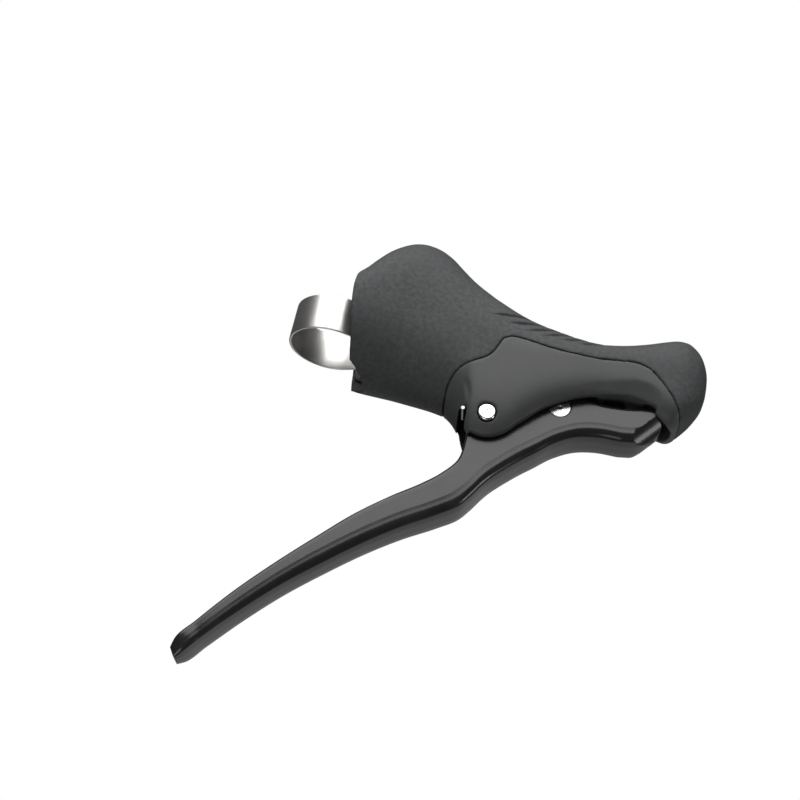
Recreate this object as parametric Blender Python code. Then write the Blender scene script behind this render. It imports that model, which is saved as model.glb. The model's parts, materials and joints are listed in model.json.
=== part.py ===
"""Right-hand brake lever for drop handlebars, built as separate pieces.

Frame, in metres: the origin is on the handlebar axis at the middle of the clamp
band, +X runs forward to the horn, +Y to the rider's left and +Z up the bar.
Lengths below are written in millimetres and turned into metres when meshed.
They are measured from a datum in the grip, DATUM_X ahead of the handlebar axis.
"""
import math

import bmesh
import bpy
from mathutils import Matrix, Vector

MM = 0.001
DATUM_X = 12.0
DATUM = Vector((DATUM_X, 0.0, 0.0))
PIVOT = Vector((41.0, 0.0, -24.0))
ANCHOR = PIVOT + Vector((21.0, 0.0, 9.0))
FORWARD = Vector((1.0, 0.0, 0.0))
ACROSS = Vector((0.0, 1.0, 0.0))
UP = Vector((0.0, 0.0, 1.0))

BAR_X = -DATUM_X
BAR_RADIUS = 12.0
BAR_FIT = 0.05
BAR_TAPE_ROOM = 1.0
SADDLE_REAR_X = -3.6
HOOD_WALL = 2.0
HOOD_LIP = 3.4
GAP = 0.3
RECESS_DEPTH = 1.6
RECESS_EDGE = 2.5
TURN_UNDER = 0.42
SLOT_HALF_WIDTH = 7.9
BLADE_HALF_WIDTH = 7.3

PIN_RADIUS = 2.7
PIN_HALF_LENGTH = 13.0
RUNNING_GAP = 0.05
BUSH_RADIUS = 3.3
BUSH_FLANGE_RADIUS = 4.4
ANCHOR_RADIUS = 3.5
ANCHOR_HALF_LENGTH = 7.0

SPRING_RADIUS = 4.3
SPRING_WIRE = 0.55
SPRING_TURNS = 4
SPRING_HALF_SPAN = 2.9
SPRING_LEG_X = -7.4
SPRING_LEG_Z = 0.75

BAND_HALF_WIDTH = 6.0
BAND_THICKNESS = 0.8
NUT_TO_BAR = 21.0
NUT_X = BAR_X + NUT_TO_BAR
NUT_RADIUS = 4.0
NUT_LENGTH = 11.0
BOLT_RADIUS = 2.5
BOLT_START_X = 5.5
BOLT_HEAD_RADIUS = 4.25
BOLT_HEAD_LENGTH = 5.0
BOLT_SOCKET_RADIUS = 2.31
BOLT_WALL = (16.0, 32.0)
WASHER_RADIUS = 4.6
WASHER_THICKNESS = 0.9
STRAP_POCKET = (2.0, 8.6, 6.6)

CABLE_HOLE_RADIUS = 1.1
CABLE_WAY_RADIUS = 1.4
CABLE_HEAD_RADIUS = 2.4
CABLE_FAN = (1.7, 26.0, 128.0, 172.0)
BUSH_SEAT_DEPTH = 0.9
SPRING_POCKET_RADIUS = 5.7
SPRING_POCKET_HALF_WIDTH = 4.0
SPRING_SLIT = (1.2, 7.0, 0.85)
STOP_PAD = ((75.0, 81.0), (-3.5, 3.5), (-10.9, -8.0))
SLOT_END = 94.3
BEYOND = 60.0
SIDE = 40.0

CABLE_TOWARDS = Vector((14.0, 0.0, 28.0))
FERRULE_AT = 40.0
FERRULE_LENGTH = 7.0
FERRULE_RADIUS = 2.9
FERRULE_BORE = 2.55
FERRULE_FLOOR = (0.2, 1.4, 1.2)

# Cross-sections of the grip: x, top, bottom, half width, widest height, crease height.
GRIP_SECTIONS = [
    (-8.0, 16.6, -16.2, 19.4, 5.0, -40.0),
    (-5.0, 20.4, -16.6, 19.3, 5.0, -40.0),
    (-2.0, 25.4, -16.9, 19.0, 5.0, -40.0),
    (1.0, 29.6, -17.3, 18.5, 5.0, -40.0),
    (4.0, 32.4, -17.6, 17.9, 5.0, -40.0),
    (7.0, 34.3, -17.9, 17.3, 5.0, -40.0),
    (10.0, 35.2, -18.2, 16.6, 5.0, -40.0),
    (15.5, 34.6, -18.9, 15.6, 4.0, -40.0),
    (20.0, 32.2, -19.4, 15.1, 3.0, -40.0),
    (24.0, 28.8, -20.0, 14.8, 2.0, -40.0),
    (28.0, 25.5, -21.2, 14.5, 1.0, -40.0),
    (32.0, 22.8, -25.2, 14.3, 0.0, -40.0),
    (34.0, 21.6, -28.6, 14.3, -0.5, -40.0),
    (36.0, 20.4, -31.6, 14.2, -1.0, -40.0),
    (38.5, 19.1, -32.8, 14.2, -1.5, -38.0),
    (41.0, 17.8, -33.0, 14.2, -2.0, -36.0),
    (46.0, 15.5, -31.4, 14.2, -3.0, -28.0),
    (52.0, 13.4, -25.4, 14.1, -3.0, -17.0),
    (58.0, 11.9, -19.4, 13.9, -2.0, -12.0),
    (64.0, 10.6, -15.6, 13.6, -1.0, -8.6),
    (71.0, 10.0, -12.9, 13.1, 0.0, -6.2),
    (78.0, 11.2, -11.4, 12.7, 1.0, -4.5),
    (84.0, 13.2, -11.2, 12.4, 1.5, -3.4),
    (89.0, 15.4, -12.2, 12.1, 1.0, -4.4),
    (93.0, 17.0, -13.8, 11.9, 0.5, -8.0),
    (96.0, 17.4, -14.0, 11.5, 0.0, -14.0),
    (98.6, 16.6, -11.6, 10.8, 0.0, -20.0),
    (101.0, 14.6, -8.6, 9.6, 0.5, -20.0),
    (103.0, 11.4, -5.4, 7.8, 1.0, -20.0),
    (104.3, 7.8, -2.8, 5.2, 1.5, -20.0),
    (104.8, 4.2, -0.4, 2.4, 1.5, -20.0),
]

# Upper edge of the recessed strip behind the ear: x, height.
RECESS_LINE = [
    (20.0, -9.6), (27.0, -10.2), (31.5, -10.8), (34.4, -13.6), (36.2, -17.6), (37.0, -22.0),
    (37.6, -27.0), (38.4, -40.0),
]

# Side outline of the bare bracket panel; the rubber ends on its upper edge.
PANEL_OUTLINE = [
    (30.0, -46.0), (29.6, -29.0), (28.1, -24.9), (27.3, -21.2), (27.5, -16.0), (30.8, -10.2),
    (34.4, -7.9), (37.2, -6.2), (39.0, -4.2), (40.1, -1.7), (41.4, 1.2), (43.8, 2.5),
    (47.0, 2.5), (51.0, 2.0), (56.0, 1.2), (62.0, 0.8), (71.0, 0.8), (77.0, 1.5),
    (82.6, 2.0), (86.8, 0.8), (90.6, -2.3), (94.3, -6.2), (97.3, -10.2), (99.4, -13.4),
    (100.4, -46.0),
]

# Rear edge of the hood seen from the side, closed far behind the bar.
HOOD_REAR_OUTLINE = [
    (-3.0, 60.0), (-3.6, 26.0), (-5.0, 21.0), (-6.2, 17.0), (-6.7, 12.0), (-6.4, 4.0),
    (-5.4, -2.0), (-4.4, -8.0), (-3.4, -15.0), (-3.0, -60.0), (-40.0, -60.0), (-40.0, 60.0),
]

# Slot that takes the upper arm of the blade, seen from the side.
SLOT_OUTLINE = [
    (32.0, 6.4), (44.0, 3.4), (53.0, -3.0), (59.0, -6.4), (67.0, -7.8), (73.0, -9.3),
    (85.0, -9.3), (90.0, -7.4), (SLOT_END, -7.4), (SLOT_END, -60.0), (32.4, -60.0),
    (32.4, -20.0), (32.0, -14.0),
]

# Mouth of the spring pocket in the blade's rear edge, from the pivot.
POCKET_MOUTH = [(-12.0, -3.6), (-3.0, -3.6), (5.7, 0.0), (5.7, 14.0), (-12.0, 14.0)]

# Blade stations from the pivot: front edge, back edge, half width.
BLADE_STATIONS = [
    ((52.2, 9.8), (51.2, 12.0), 2.6),
    ((51.2, 7.6), (48.9, 13.8), 5.0),
    ((49.0, 5.0), (46.0, 14.0), 6.5),
    ((46.0, 2.9), (43.0, 13.4), 7.2),
    ((41.0, 1.9), (40.0, 13.0), BLADE_HALF_WIDTH),
    ((34.0, 1.9), (33.5, 13.0), BLADE_HALF_WIDTH),
    ((27.6, 0.6), (27.0, 14.4), BLADE_HALF_WIDTH),
    ((22.0, -2.4), (19.5, 15.2), BLADE_HALF_WIDTH),
    ((16.4, -7.2), (9.0, 11.6), BLADE_HALF_WIDTH),
    ((11.4, -11.6), (0.4, 7.4), BLADE_HALF_WIDTH),
    ((6.8, -16.2), (-5.4, 3.8), BLADE_HALF_WIDTH),
    ((3.2, -20.6), (-5.1, -7.2), BLADE_HALF_WIDTH),
    ((0.3, -25.2), (-6.0, -14.4), BLADE_HALF_WIDTH),
    ((-2.6, -29.0), (-9.8, -19.4), 7.2),
    ((-8.2, -33.0), (-14.8, -23.8), 7.0),
    ((-17.6, -38.8), (-23.0, -29.8), 6.8),
    ((-27.5, -46.0), (-32.4, -37.6), 6.6),
    ((-38.0, -54.8), (-42.2, -47.6), 6.5),
    ((-48.0, -63.8), (-51.7, -57.8), 6.4),
    ((-57.5, -73.8), (-61.0, -68.6), 6.3),
    ((-66.0, -83.7), (-69.4, -79.8), 6.2),
    ((-70.6, -89.5), (-74.0, -86.0), 5.6),
    ((-72.6, -91.2), (-74.9, -88.4), 3.8),
]


def clear_scene():
    """Start from an empty file."""
    for obj in list(bpy.data.objects):
        bpy.data.objects.remove(obj, do_unlink=True)
    for block in list(bpy.data.meshes):
        bpy.data.meshes.remove(block)


def mesh_object(name, bm):
    """Turn a bmesh into an object whose faces look outwards."""
    bmesh.ops.recalc_face_normals(bm, faces=bm.faces)
    mesh = bpy.data.meshes.new(name)
    bm.to_mesh(mesh)
    bm.free()
    obj = bpy.data.objects.new(name, mesh)
    bpy.context.scene.collection.objects.link(obj)
    return obj


def loft(name, rings, closed=False):
    """Skin a row of rings; the ends are capped unless the row closes on itself."""
    bm = bmesh.new()
    loops = [[bm.verts.new((Vector(point) + DATUM) * MM) for point in ring] for ring in rings]
    pairs = list(zip(loops, loops[1:]))
    if closed:
        pairs.append((loops[-1], loops[0]))
    for first, second in pairs:
        for i in range(len(first)):
            j = (i + 1) % len(first)
            bm.faces.new((first[i], first[j], second[j], second[i]))
    bmesh.ops.triangulate(bm, faces=bm.faces)
    if not closed:
        bm.faces.new(loops[0])
        bm.faces.new(loops[-1])
    return mesh_object(name, bm)


def side_prism(name, outline, y_low, y_high):
    """Extrude a side outline (x, z) across the part."""
    return loft(name, [[(x, y, z) for x, z in outline] for y in (y_low, y_high)])


def plan_prism(name, outline, z_low, z_high):
    """Extrude a plan outline (x, y) up the bar."""
    return loft(name, [[(x, y, z) for x, y in outline] for z in (z_low, z_high)])


def grown(ranges, gap):
    """Three ranges of a block, each widened by a gap on both sides."""
    return [(low - gap, high + gap) for low, high in ranges]


def box(name, x_range, y_range, z_range):
    """A plain block."""
    (x0, x1), (z0, z1) = x_range, z_range
    return side_prism(name, [(x0, z0), (x1, z0), (x1, z1), (x0, z1)], *y_range)


def turned(name, profile, start, axis, segments=40, hollow=False):
    """Turn a profile of (distance along the axis, radius) about the axis."""
    axis = Vector(axis).normalized()
    side = axis.orthogonal().normalized()
    other = axis.cross(side)
    rings = []
    for along, radius in profile:
        ring = []
        for i in range(segments):
            angle = math.tau * i / segments
            spoke = side * math.cos(angle) + other * math.sin(angle)
            ring.append(Vector(start) + axis * along + spoke * radius)
        rings.append(ring)
    return loft(name, rings, closed=hollow)


def rod(name, start, axis, length, radius, segments=40):
    """A plain round bar."""
    return turned(name, [(0.0, radius), (length, radius)], start, axis, segments)


def combine(target, other, operation):
    """Join, cut or intersect two solids and keep the result in the first."""
    modifier = target.modifiers.new(operation, "BOOLEAN")
    modifier.operation = operation
    modifier.solver = "EXACT"
    modifier.object = other
    depsgraph = bpy.context.evaluated_depsgraph_get()
    result = bpy.data.meshes.new_from_object(target.evaluated_get(depsgraph))
    target.modifiers.clear()
    target.data = result
    bpy.data.objects.remove(other, do_unlink=True)


def cut(target, *cutters):
    """Take each cutter away from the target."""
    for cutter in cutters:
        combine(target, cutter, "DIFFERENCE")


def finish(obj, colour, roughness, metallic, origin=None, smooth_angle=32.0):
    """Clean the mesh, give it its material and put its origin in place."""
    bm = bmesh.new()
    bm.from_mesh(obj.data)
    bmesh.ops.remove_doubles(bm, verts=bm.verts, dist=2e-6)
    bmesh.ops.dissolve_degenerate(bm, edges=bm.edges, dist=2e-6)
    bm.to_mesh(obj.data)
    bm.free()
    obj.data.name = obj.name
    if origin is not None:
        centre = (origin + DATUM) * MM
        obj.data.transform(Matrix.Translation(-centre))
        obj.location = centre
    for polygon in obj.data.polygons:
        polygon.use_smooth = True
    obj.data.set_sharp_from_angle(angle=math.radians(smooth_angle))
    material = bpy.data.materials.new(obj.name + "_material")
    material.use_nodes = True
    shader = material.node_tree.nodes["Principled BSDF"]
    shader.inputs["Base Color"].default_value = (*colour, 1.0)
    shader.inputs["Roughness"].default_value = roughness
    shader.inputs["Metallic"].default_value = metallic
    obj.data.materials.clear()
    obj.data.materials.append(material)
    return obj


def power(value, exponent):
    """Signed power, used by the rounded cross-sections."""
    return math.copysign(abs(value) ** exponent, value)


def soft_step(start, end, value):
    """Go smoothly from 0 at the start to 1 at the end."""
    t = min(max((value - start) / (end - start), 0.0), 1.0)
    return t * t * (3.0 - 2.0 * t)


def recess(x, z):
    """How far a side is set back, from 0 to 1, in the strip behind the ear."""
    first, last = RECESS_LINE[0], RECESS_LINE[-1]
    if not first[0] < x < last[0]:
        return 0.0
    for (x0, z0), (x1, z1) in zip(RECESS_LINE, RECESS_LINE[1:]):
        if x0 <= x <= x1:
            edge = z0 + (z1 - z0) * (x - x0) / (x1 - x0)
    return soft_step(edge, edge - RECESS_EDGE, z) * soft_step(first[0], first[0] + 7.0, x)


def grip_ring(section, inset, points=32):
    """One cross-section of the grip, drawn in by a wall thickness."""
    x, top, bottom, half_width, widest, crease = section
    half = max(half_width - inset, 0.6)
    up = max(top - inset - widest, 0.6)
    down = max(widest - bottom - inset, 0.6)
    under = 2.1 + 1.5 * soft_step(31.0, 37.0, x)
    ring = []
    for i in range(points):
        angle = math.tau * (i + 0.5) / points
        rise = math.cos(angle)
        if rise > 0.0:
            squareness = 2.0 / 2.4
            z = widest + up * power(rise, squareness)
        else:
            squareness = 2.0 / under
            z = widest + down * power(rise, squareness)
        y = half * power(math.sin(angle), squareness)
        limit = half - TURN_UNDER * max(crease - z, 0.0) - RECESS_DEPTH * recess(x, z)
        y = math.copysign(min(abs(y), max(limit, 1.0)), y)
        ring.append((x, y, z))
    return ring


def hood_wall(x):
    """The rubber is thicker in the lip that overlaps the bar tape."""
    blend = min(max((9.0 - x) / 9.0, 0.0), 1.0)
    return HOOD_WALL + (HOOD_LIP - HOOD_WALL) * blend


def grip_solid(name, extra, walled):
    """The whole grip as one solid, either full size or drawn in under the rubber."""
    rings = []
    first, last = GRIP_SECTIONS[0][0], GRIP_SECTIONS[-1][0]
    for section in GRIP_SECTIONS:
        inset = hood_wall(section[0]) + extra if walled else 0.0
        shrink = (last - first - inset) / (last - first)
        ring = grip_ring(section, inset)
        rings.append([(first + (x - first) * shrink, y, z) for x, y, z in ring])
    if walled:
        rings[0] = [(-14.0, y, z) for x, y, z in rings[0]]
    return loft(name, rings)


def drawn_in(outline, distance):
    """Move every corner of a closed outline inwards by a distance."""
    points = [Vector(point) for point in outline]
    area = sum(a.cross(b) for a, b in zip(points, points[1:] + points[:1]))
    turn = 1.0 if area > 0.0 else -1.0
    moved = []
    for i, point in enumerate(points):
        before = (point - points[i - 1]).normalized()
        after = (points[(i + 1) % len(points)] - point).normalized()
        normal = Vector((-before.y - after.y, before.x + after.x)).normalized()
        stretch = max(normal.dot(Vector((-before.y, before.x))), 0.5)
        moved.append(tuple(point + normal * turn * distance / stretch))
    return moved


def cable_line():
    """Start and direction of the straight cable run from the lever to the bar."""
    direction = (CABLE_TOWARDS - ANCHOR).normalized()
    return ANCHOR, direction


def make_hood():
    """Rubber cover: a thin skin over the grip, open at the bar and below."""
    hood = grip_solid("rubber_hood", 0.0, False)
    cut(
        hood,
        grip_solid("inside", 0.0, True),
        side_prism("rear", HOOD_REAR_OUTLINE, -SIDE, SIDE),
        rod("bar", (BAR_X, 0.0, -BEYOND), UP, 2.0 * BEYOND, BAR_RADIUS + BAR_TAPE_ROOM, 64),
        side_prism("panel", PANEL_OUTLINE, -SIDE, SIDE),
    )
    return finish(hood, (0.030, 0.031, 0.033), 0.72, 0.0)


def make_slot():
    """The slot for the blade, with its front end rounded in plan."""
    slot = side_prism("slot", SLOT_OUTLINE, -SLOT_HALF_WIDTH, SLOT_HALF_WIDTH)
    stadium = [(20.0, -SLOT_HALF_WIDTH), (20.0, SLOT_HALF_WIDTH)]
    centre = SLOT_END - SLOT_HALF_WIDTH
    for i in range(17):
        angle = math.pi * (0.5 - i / 16)
        x = centre + SLOT_HALF_WIDTH * math.cos(angle)
        stadium.append((x, SLOT_HALF_WIDTH * math.sin(angle)))
    combine(slot, plan_prism("stadium", stadium, -80.0, SIDE), "INTERSECT")
    return slot


def make_body():
    """Composite bracket: core under the rubber, bare panels, ears and bar saddle."""
    body = grip_solid("bracket_body", GAP, True)
    panel = side_prism("panel", drawn_in(PANEL_OUTLINE, GAP), -SIDE, SIDE)
    combine(panel, grip_solid("outer", 0.0, False), "INTERSECT")
    combine(body, panel, "UNION")
    start, along = cable_line()
    px, pz = PIVOT.x, PIVOT.z
    pocket_x, pocket_y, pocket_z = STRAP_POCKET
    slit_half, slit_depth, slit_rise = SPRING_SLIT
    slit_range = (px + SPRING_LEG_X - slit_half, px + SPRING_LEG_X + slit_half)
    slit_top = pz + SPRING_LEG_Z + slit_rise
    cut(
        body,
        make_slot(),
        box("rear", (-SIDE, SADDLE_REAR_X), (-SIDE, SIDE), (-BEYOND, BEYOND)),
        rod("bar", (BAR_X, 0.0, -BEYOND), UP, 2.0 * BEYOND, BAR_RADIUS + BAR_FIT, 64),
        box("strap_way", (-SIDE, pocket_x + 1.0), (-SIDE, SIDE), (-pocket_z, pocket_z)),
        box("strap_pocket", (pocket_x, BOLT_WALL[0]), (-pocket_y, pocket_y), (-pocket_z, pocket_z)),
        rod("bolt_way", (pocket_x, 0.0, 0.0), FORWARD, 36.0, BOLT_RADIUS + 0.25),
        rod("pin_way", (px, -SIDE, pz), ACROSS, 2.0 * SIDE, PIN_RADIUS + RUNNING_GAP, 48),
        rod("cable_way", start, along, BEYOND, CABLE_WAY_RADIUS, 24),
        rod("housing_way", start + along * FERRULE_AT, along, BEYOND, FERRULE_RADIUS + 0.2),
        box("pad_seat", *grown(STOP_PAD, GAP)),
        box("spring_slit", slit_range, (-SIDE, -slit_depth), (-BEYOND, slit_top)),
    )
    return finish(body, (0.026, 0.027, 0.029), 0.58, 0.0, smooth_angle=24.0)


def blade_ring(front, back, half_width, points=5):
    """A rounded rectangle across the blade between its front and back edges."""
    front = PIVOT + Vector((front[0], 0.0, front[1]))
    back = PIVOT + Vector((back[0], 0.0, back[1]))
    depth = (front - back).length
    forward = (front - back) / depth
    middle = (front + back) / 2.0
    round_off = min(2.6, depth * 0.45, half_width * 0.8)
    ring = []
    for corner, (a, b) in enumerate(((1, 1), (-1, 1), (-1, -1), (1, -1))):
        centre_a = a * (depth / 2.0 - round_off)
        centre_b = b * (half_width - round_off)
        for i in range(points):
            angle = math.pi / 2.0 * (corner + i / (points - 1))
            along = centre_a + round_off * math.cos(angle)
            across = centre_b + round_off * math.sin(angle)
            ring.append(middle + forward * along + Vector((0.0, across, 0.0)))
    return ring


def cable_fan():
    """Side outline of the room that the cable needs as the blade turns."""
    reach, low_angle, high_angle = CABLE_FAN[1:]
    fan = [(ANCHOR.x, ANCHOR.z - 1.0)]
    for degrees in (low_angle, high_angle):
        angle = math.radians(degrees)
        fan.append((ANCHOR.x + reach * math.cos(angle), ANCHOR.z + reach * math.sin(angle)))
    return fan


def make_blade():
    """Forged lever blade with its pivot boss, spring pocket and anchor bore."""
    blade = loft("lever_blade", [blade_ring(*station) for station in BLADE_STATIONS])
    px, pz = PIVOT.x, PIVOT.z
    mouth = [(px + x, pz + z) for x, z in POCKET_MOUTH]
    pocket = SPRING_POCKET_HALF_WIDTH
    seat_radius = BUSH_FLANGE_RADIUS + 0.2
    seat = BLADE_HALF_WIDTH - BUSH_SEAT_DEPTH
    leg_x = px + SPRING_RADIUS
    cut(
        blade,
        rod("bore", (px, -20.0, pz), ACROSS, 40.0, BUSH_RADIUS + 0.05, 48),
        rod("left_seat", (px, seat, pz), ACROSS, 6.0, seat_radius),
        rod("right_seat", (px, -seat, pz), -ACROSS, 6.0, seat_radius),
        rod("pocket", (px, -pocket, pz), ACROSS, 2.0 * pocket, SPRING_POCKET_RADIUS),
        side_prism("pocket_mouth", mouth, -pocket, pocket),
        box("leg_way", (leg_x - 1.1, leg_x + 1.0), (1.8, pocket), (pz - 9.8, pz)),
        rod("anchor_bore", (ANCHOR.x, -20.0, ANCHOR.z), ACROSS, 40.0, ANCHOR_RADIUS + RUNNING_GAP, 48),
        side_prism("cable_fan", cable_fan(), -CABLE_FAN[0], CABLE_FAN[0]),
    )
    return finish(blade, (0.012, 0.012, 0.014), 0.22, 0.6, origin=PIVOT)


def make_pin():
    """Steel pivot pin, chamfered, with a centre mark in each end."""
    half = PIN_HALF_LENGTH
    profile = [
        (0.35, 0.5), (0.0, 0.9), (0.0, PIN_RADIUS - 0.4), (0.4, PIN_RADIUS),
        (2.0 * half - 0.4, PIN_RADIUS), (2.0 * half, PIN_RADIUS - 0.4),
        (2.0 * half, 0.9), (2.0 * half - 0.35, 0.5),
    ]
    pin = turned("pivot_pin", profile, PIVOT - ACROSS * half, ACROSS, 48)
    return finish(pin, (0.62, 0.62, 0.60), 0.22, 1.0, origin=PIVOT)


def make_bush(name, side):
    """Flanged bearing bush pressed into one cheek of the blade."""
    inner = PIN_RADIUS + RUNNING_GAP
    profile = [
        (4.2, inner), (4.2, BUSH_RADIUS), (6.45, BUSH_RADIUS),
        (6.45, BUSH_FLANGE_RADIUS), (7.55, BUSH_FLANGE_RADIUS), (7.55, inner),
    ]
    bush = turned(name, profile, PIVOT, ACROSS * side, 48, hollow=True)
    return finish(bush, (0.75, 0.74, 0.70), 0.5, 0.0, origin=PIVOT)


def spring_path():
    """Centre line of the spring wire, from the lever leg to the bracket leg."""
    radius, span = SPRING_RADIUS, SPRING_HALF_SPAN
    reach = math.hypot(SPRING_LEG_X, SPRING_LEG_Z)
    leave = math.atan2(SPRING_LEG_Z, SPRING_LEG_X) - math.acos(radius / reach)
    sweep = math.tau * SPRING_TURNS + leave
    steps = 18 * SPRING_TURNS
    path = [Vector((radius, span, -9.0))]
    for i in range(steps + 1):
        angle = sweep * i / steps
        y = span * (1.0 - 2.0 * i / steps)
        path.append(Vector((radius * math.cos(angle), y, radius * math.sin(angle))))
    leg = Vector((SPRING_LEG_X, 0.0, SPRING_LEG_Z))
    towards = (leg - Vector((path[-1].x, 0.0, path[-1].z))).normalized()
    path.append(leg - towards + Vector((0.0, -span, 0.0)))
    path.append(leg - towards * 0.3 + Vector((0.0, -span - 0.3, 0.0)))
    path.append(leg + Vector((0.0, -span - 1.0, 0.0)))
    path.append(leg + Vector((0.0, -12.0, 0.0)))
    return path


def make_spring():
    """Return spring: a torsion coil round the pin with one leg in each part."""
    path = spring_path()
    rings = []
    side = Vector((1.0, 0.0, 0.0))
    for i, point in enumerate(path):
        before = path[max(i - 1, 0)]
        after = path[min(i + 1, len(path) - 1)]
        along = (after - before).normalized()
        side = (side - along * side.dot(along)).normalized()
        other = along.cross(side)
        ring = []
        for k in range(8):
            angle = math.tau * k / 8
            spoke = side * math.cos(angle) + other * math.sin(angle)
            ring.append(PIVOT + point + spoke * SPRING_WIRE)
        rings.append(ring)
    spring = loft("return_spring", rings)
    return finish(spring, (0.55, 0.55, 0.56), 0.28, 1.0, origin=PIVOT, smooth_angle=60.0)


def make_anchor():
    """Cross barrel that holds the end of the brake cable."""
    half = ANCHOR_HALF_LENGTH
    profile = [
        (0.0, ANCHOR_RADIUS - 0.4), (0.4, ANCHOR_RADIUS),
        (2.0 * half - 0.4, ANCHOR_RADIUS), (2.0 * half, ANCHOR_RADIUS - 0.4),
    ]
    anchor = turned("cable_anchor", profile, ANCHOR - ACROSS * half, ACROSS, 48)
    start, along = cable_line()
    cut(
        anchor,
        rod("cable_hole", start - along * 8.0, along, 16.0, CABLE_HOLE_RADIUS, 20),
        rod("end_seat", start + along * 0.6, -along, 10.0, CABLE_HEAD_RADIUS, 24),
    )
    return finish(anchor, (0.60, 0.60, 0.58), 0.3, 1.0, origin=ANCHOR)


def teardrop(offset):
    """Plan outline round the bar and the barrel nut, pushed out by an offset."""
    big = BAR_RADIUS + BAR_FIT + offset
    small = NUT_RADIUS + 0.1 + offset
    lean = math.asin((big - small) / NUT_TO_BAR)
    points = []
    for i in range(41):
        angle = math.pi / 2.0 - lean + (math.pi + 2.0 * lean) * i / 40
        points.append((BAR_X + big * math.cos(angle), big * math.sin(angle)))
    for i in range(17):
        angle = -math.pi / 2.0 + lean + (math.pi - 2.0 * lean) * i / 16
        points.append((NUT_X + small * math.cos(angle), small * math.sin(angle)))
    return points


def make_band():
    """Steel strap round the handlebar with its closed end round the barrel nut."""
    low, high = -BAND_HALF_WIDTH, BAND_HALF_WIDTH
    band = plan_prism("clamp_band", teardrop(BAND_THICKNESS), low, high)
    cut(
        band,
        plan_prism("inside", teardrop(0.0), low - 5.0, high + 5.0),
        rod("bolt_hole", (NUT_X, 0.0, 0.0), FORWARD, 12.0, BOLT_RADIUS + 0.3, 24),
    )
    return finish(band, (0.55, 0.55, 0.54), 0.35, 1.0)


def make_nut():
    """Barrel nut standing in the closed end of the strap."""
    profile = [
        (0.0, NUT_RADIUS - 0.4), (0.4, NUT_RADIUS),
        (NUT_LENGTH - 0.4, NUT_RADIUS), (NUT_LENGTH, NUT_RADIUS - 0.4),
    ]
    nut = turned("clamp_nut", profile, (NUT_X, 0.0, -NUT_LENGTH / 2.0), UP)
    start = (NUT_X - 2.0 * NUT_RADIUS, 0.0, 0.0)
    cut(nut, rod("thread", start, FORWARD, 4.0 * NUT_RADIUS, BOLT_RADIUS + 0.05))
    return finish(nut, (0.50, 0.50, 0.49), 0.4, 1.0)


def make_washer():
    """Plain washer under the head of the clamp bolt."""
    start = (BOLT_WALL[1] + 0.1, 0.0, 0.0)
    inner = BOLT_RADIUS + 0.2
    profile = [
        (0.0, inner), (0.0, WASHER_RADIUS),
        (WASHER_THICKNESS, WASHER_RADIUS), (WASHER_THICKNESS, inner),
    ]
    washer = turned("clamp_washer", profile, start, FORWARD, hollow=True)
    return finish(washer, (0.58, 0.58, 0.57), 0.35, 1.0)


def make_bolt():
    """Clamp bolt with a hexagon socket, reached from the front through the slot."""
    start = Vector((BOLT_START_X, 0.0, 0.0))
    seat = BOLT_WALL[1] + WASHER_THICKNESS + 0.2 - start.x
    end = seat + BOLT_HEAD_LENGTH
    profile = [
        (0.0, BOLT_RADIUS - 0.5), (0.5, BOLT_RADIUS), (seat, BOLT_RADIUS),
        (seat, BOLT_HEAD_RADIUS), (end - 0.4, BOLT_HEAD_RADIUS), (end, BOLT_HEAD_RADIUS - 0.4),
    ]
    bolt = turned("clamp_bolt", profile, start, FORWARD)
    socket_start = start + Vector((end - 2.8, 0.0, 0.0))
    cut(bolt, rod("socket", socket_start, FORWARD, 6.0, BOLT_SOCKET_RADIUS, 6))
    return finish(bolt, (0.10, 0.10, 0.11), 0.35, 1.0)


def make_ferrule():
    """Metal cap that the cable housing ends in."""
    start, along = cable_line()
    low, high, hole = FERRULE_FLOOR
    profile = [
        (low, hole), (low, FERRULE_RADIUS), (FERRULE_LENGTH, FERRULE_RADIUS),
        (FERRULE_LENGTH, FERRULE_BORE), (high, FERRULE_BORE), (high, hole),
    ]
    seat = start + along * FERRULE_AT
    ferrule = turned("housing_ferrule", profile, seat, along, 32, hollow=True)
    return finish(ferrule, (0.60, 0.60, 0.58), 0.3, 1.0)


def make_stop_pad():
    """Rubber pad in the roof of the slot that the resting blade leans on."""
    pad = box("lever_stop_pad", *STOP_PAD)
    return finish(pad, (0.02, 0.02, 0.02), 0.8, 0.0)


def main():
    """Build every piece of the lever."""
    clear_scene()
    make_hood()
    make_body()
    make_blade()
    make_pin()
    make_bush("pivot_bush_left", 1.0)
    make_bush("pivot_bush_right", -1.0)
    make_spring()
    make_anchor()
    make_band()
    make_nut()
    make_washer()
    make_bolt()
    make_ferrule()
    make_stop_pad()


main()
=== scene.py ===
# %% [markdown]
# # A brake lever for drop handlebars
#
# The real object is a rubber-covered bracket that a steel strap holds on the
# bend of the handlebar, and a forged lever blade that turns on a steel pin
# between the bracket's two ears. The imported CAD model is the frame: it says where
# the bar, the pin and the cable anchor are. Each step below makes one piece
# again with the roundings, grooves, threads and finishes that the CAD leaves
# out, and puts it on the body that it moves with. Lengths are in millimetres,
# measured from a datum inside the grip, 41 mm behind the pivot and 24 mm above it.

# %% Load the frame
import json
import math

import bmesh
import bpy
import numpy as np
from mathutils import Matrix, Vector


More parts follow.
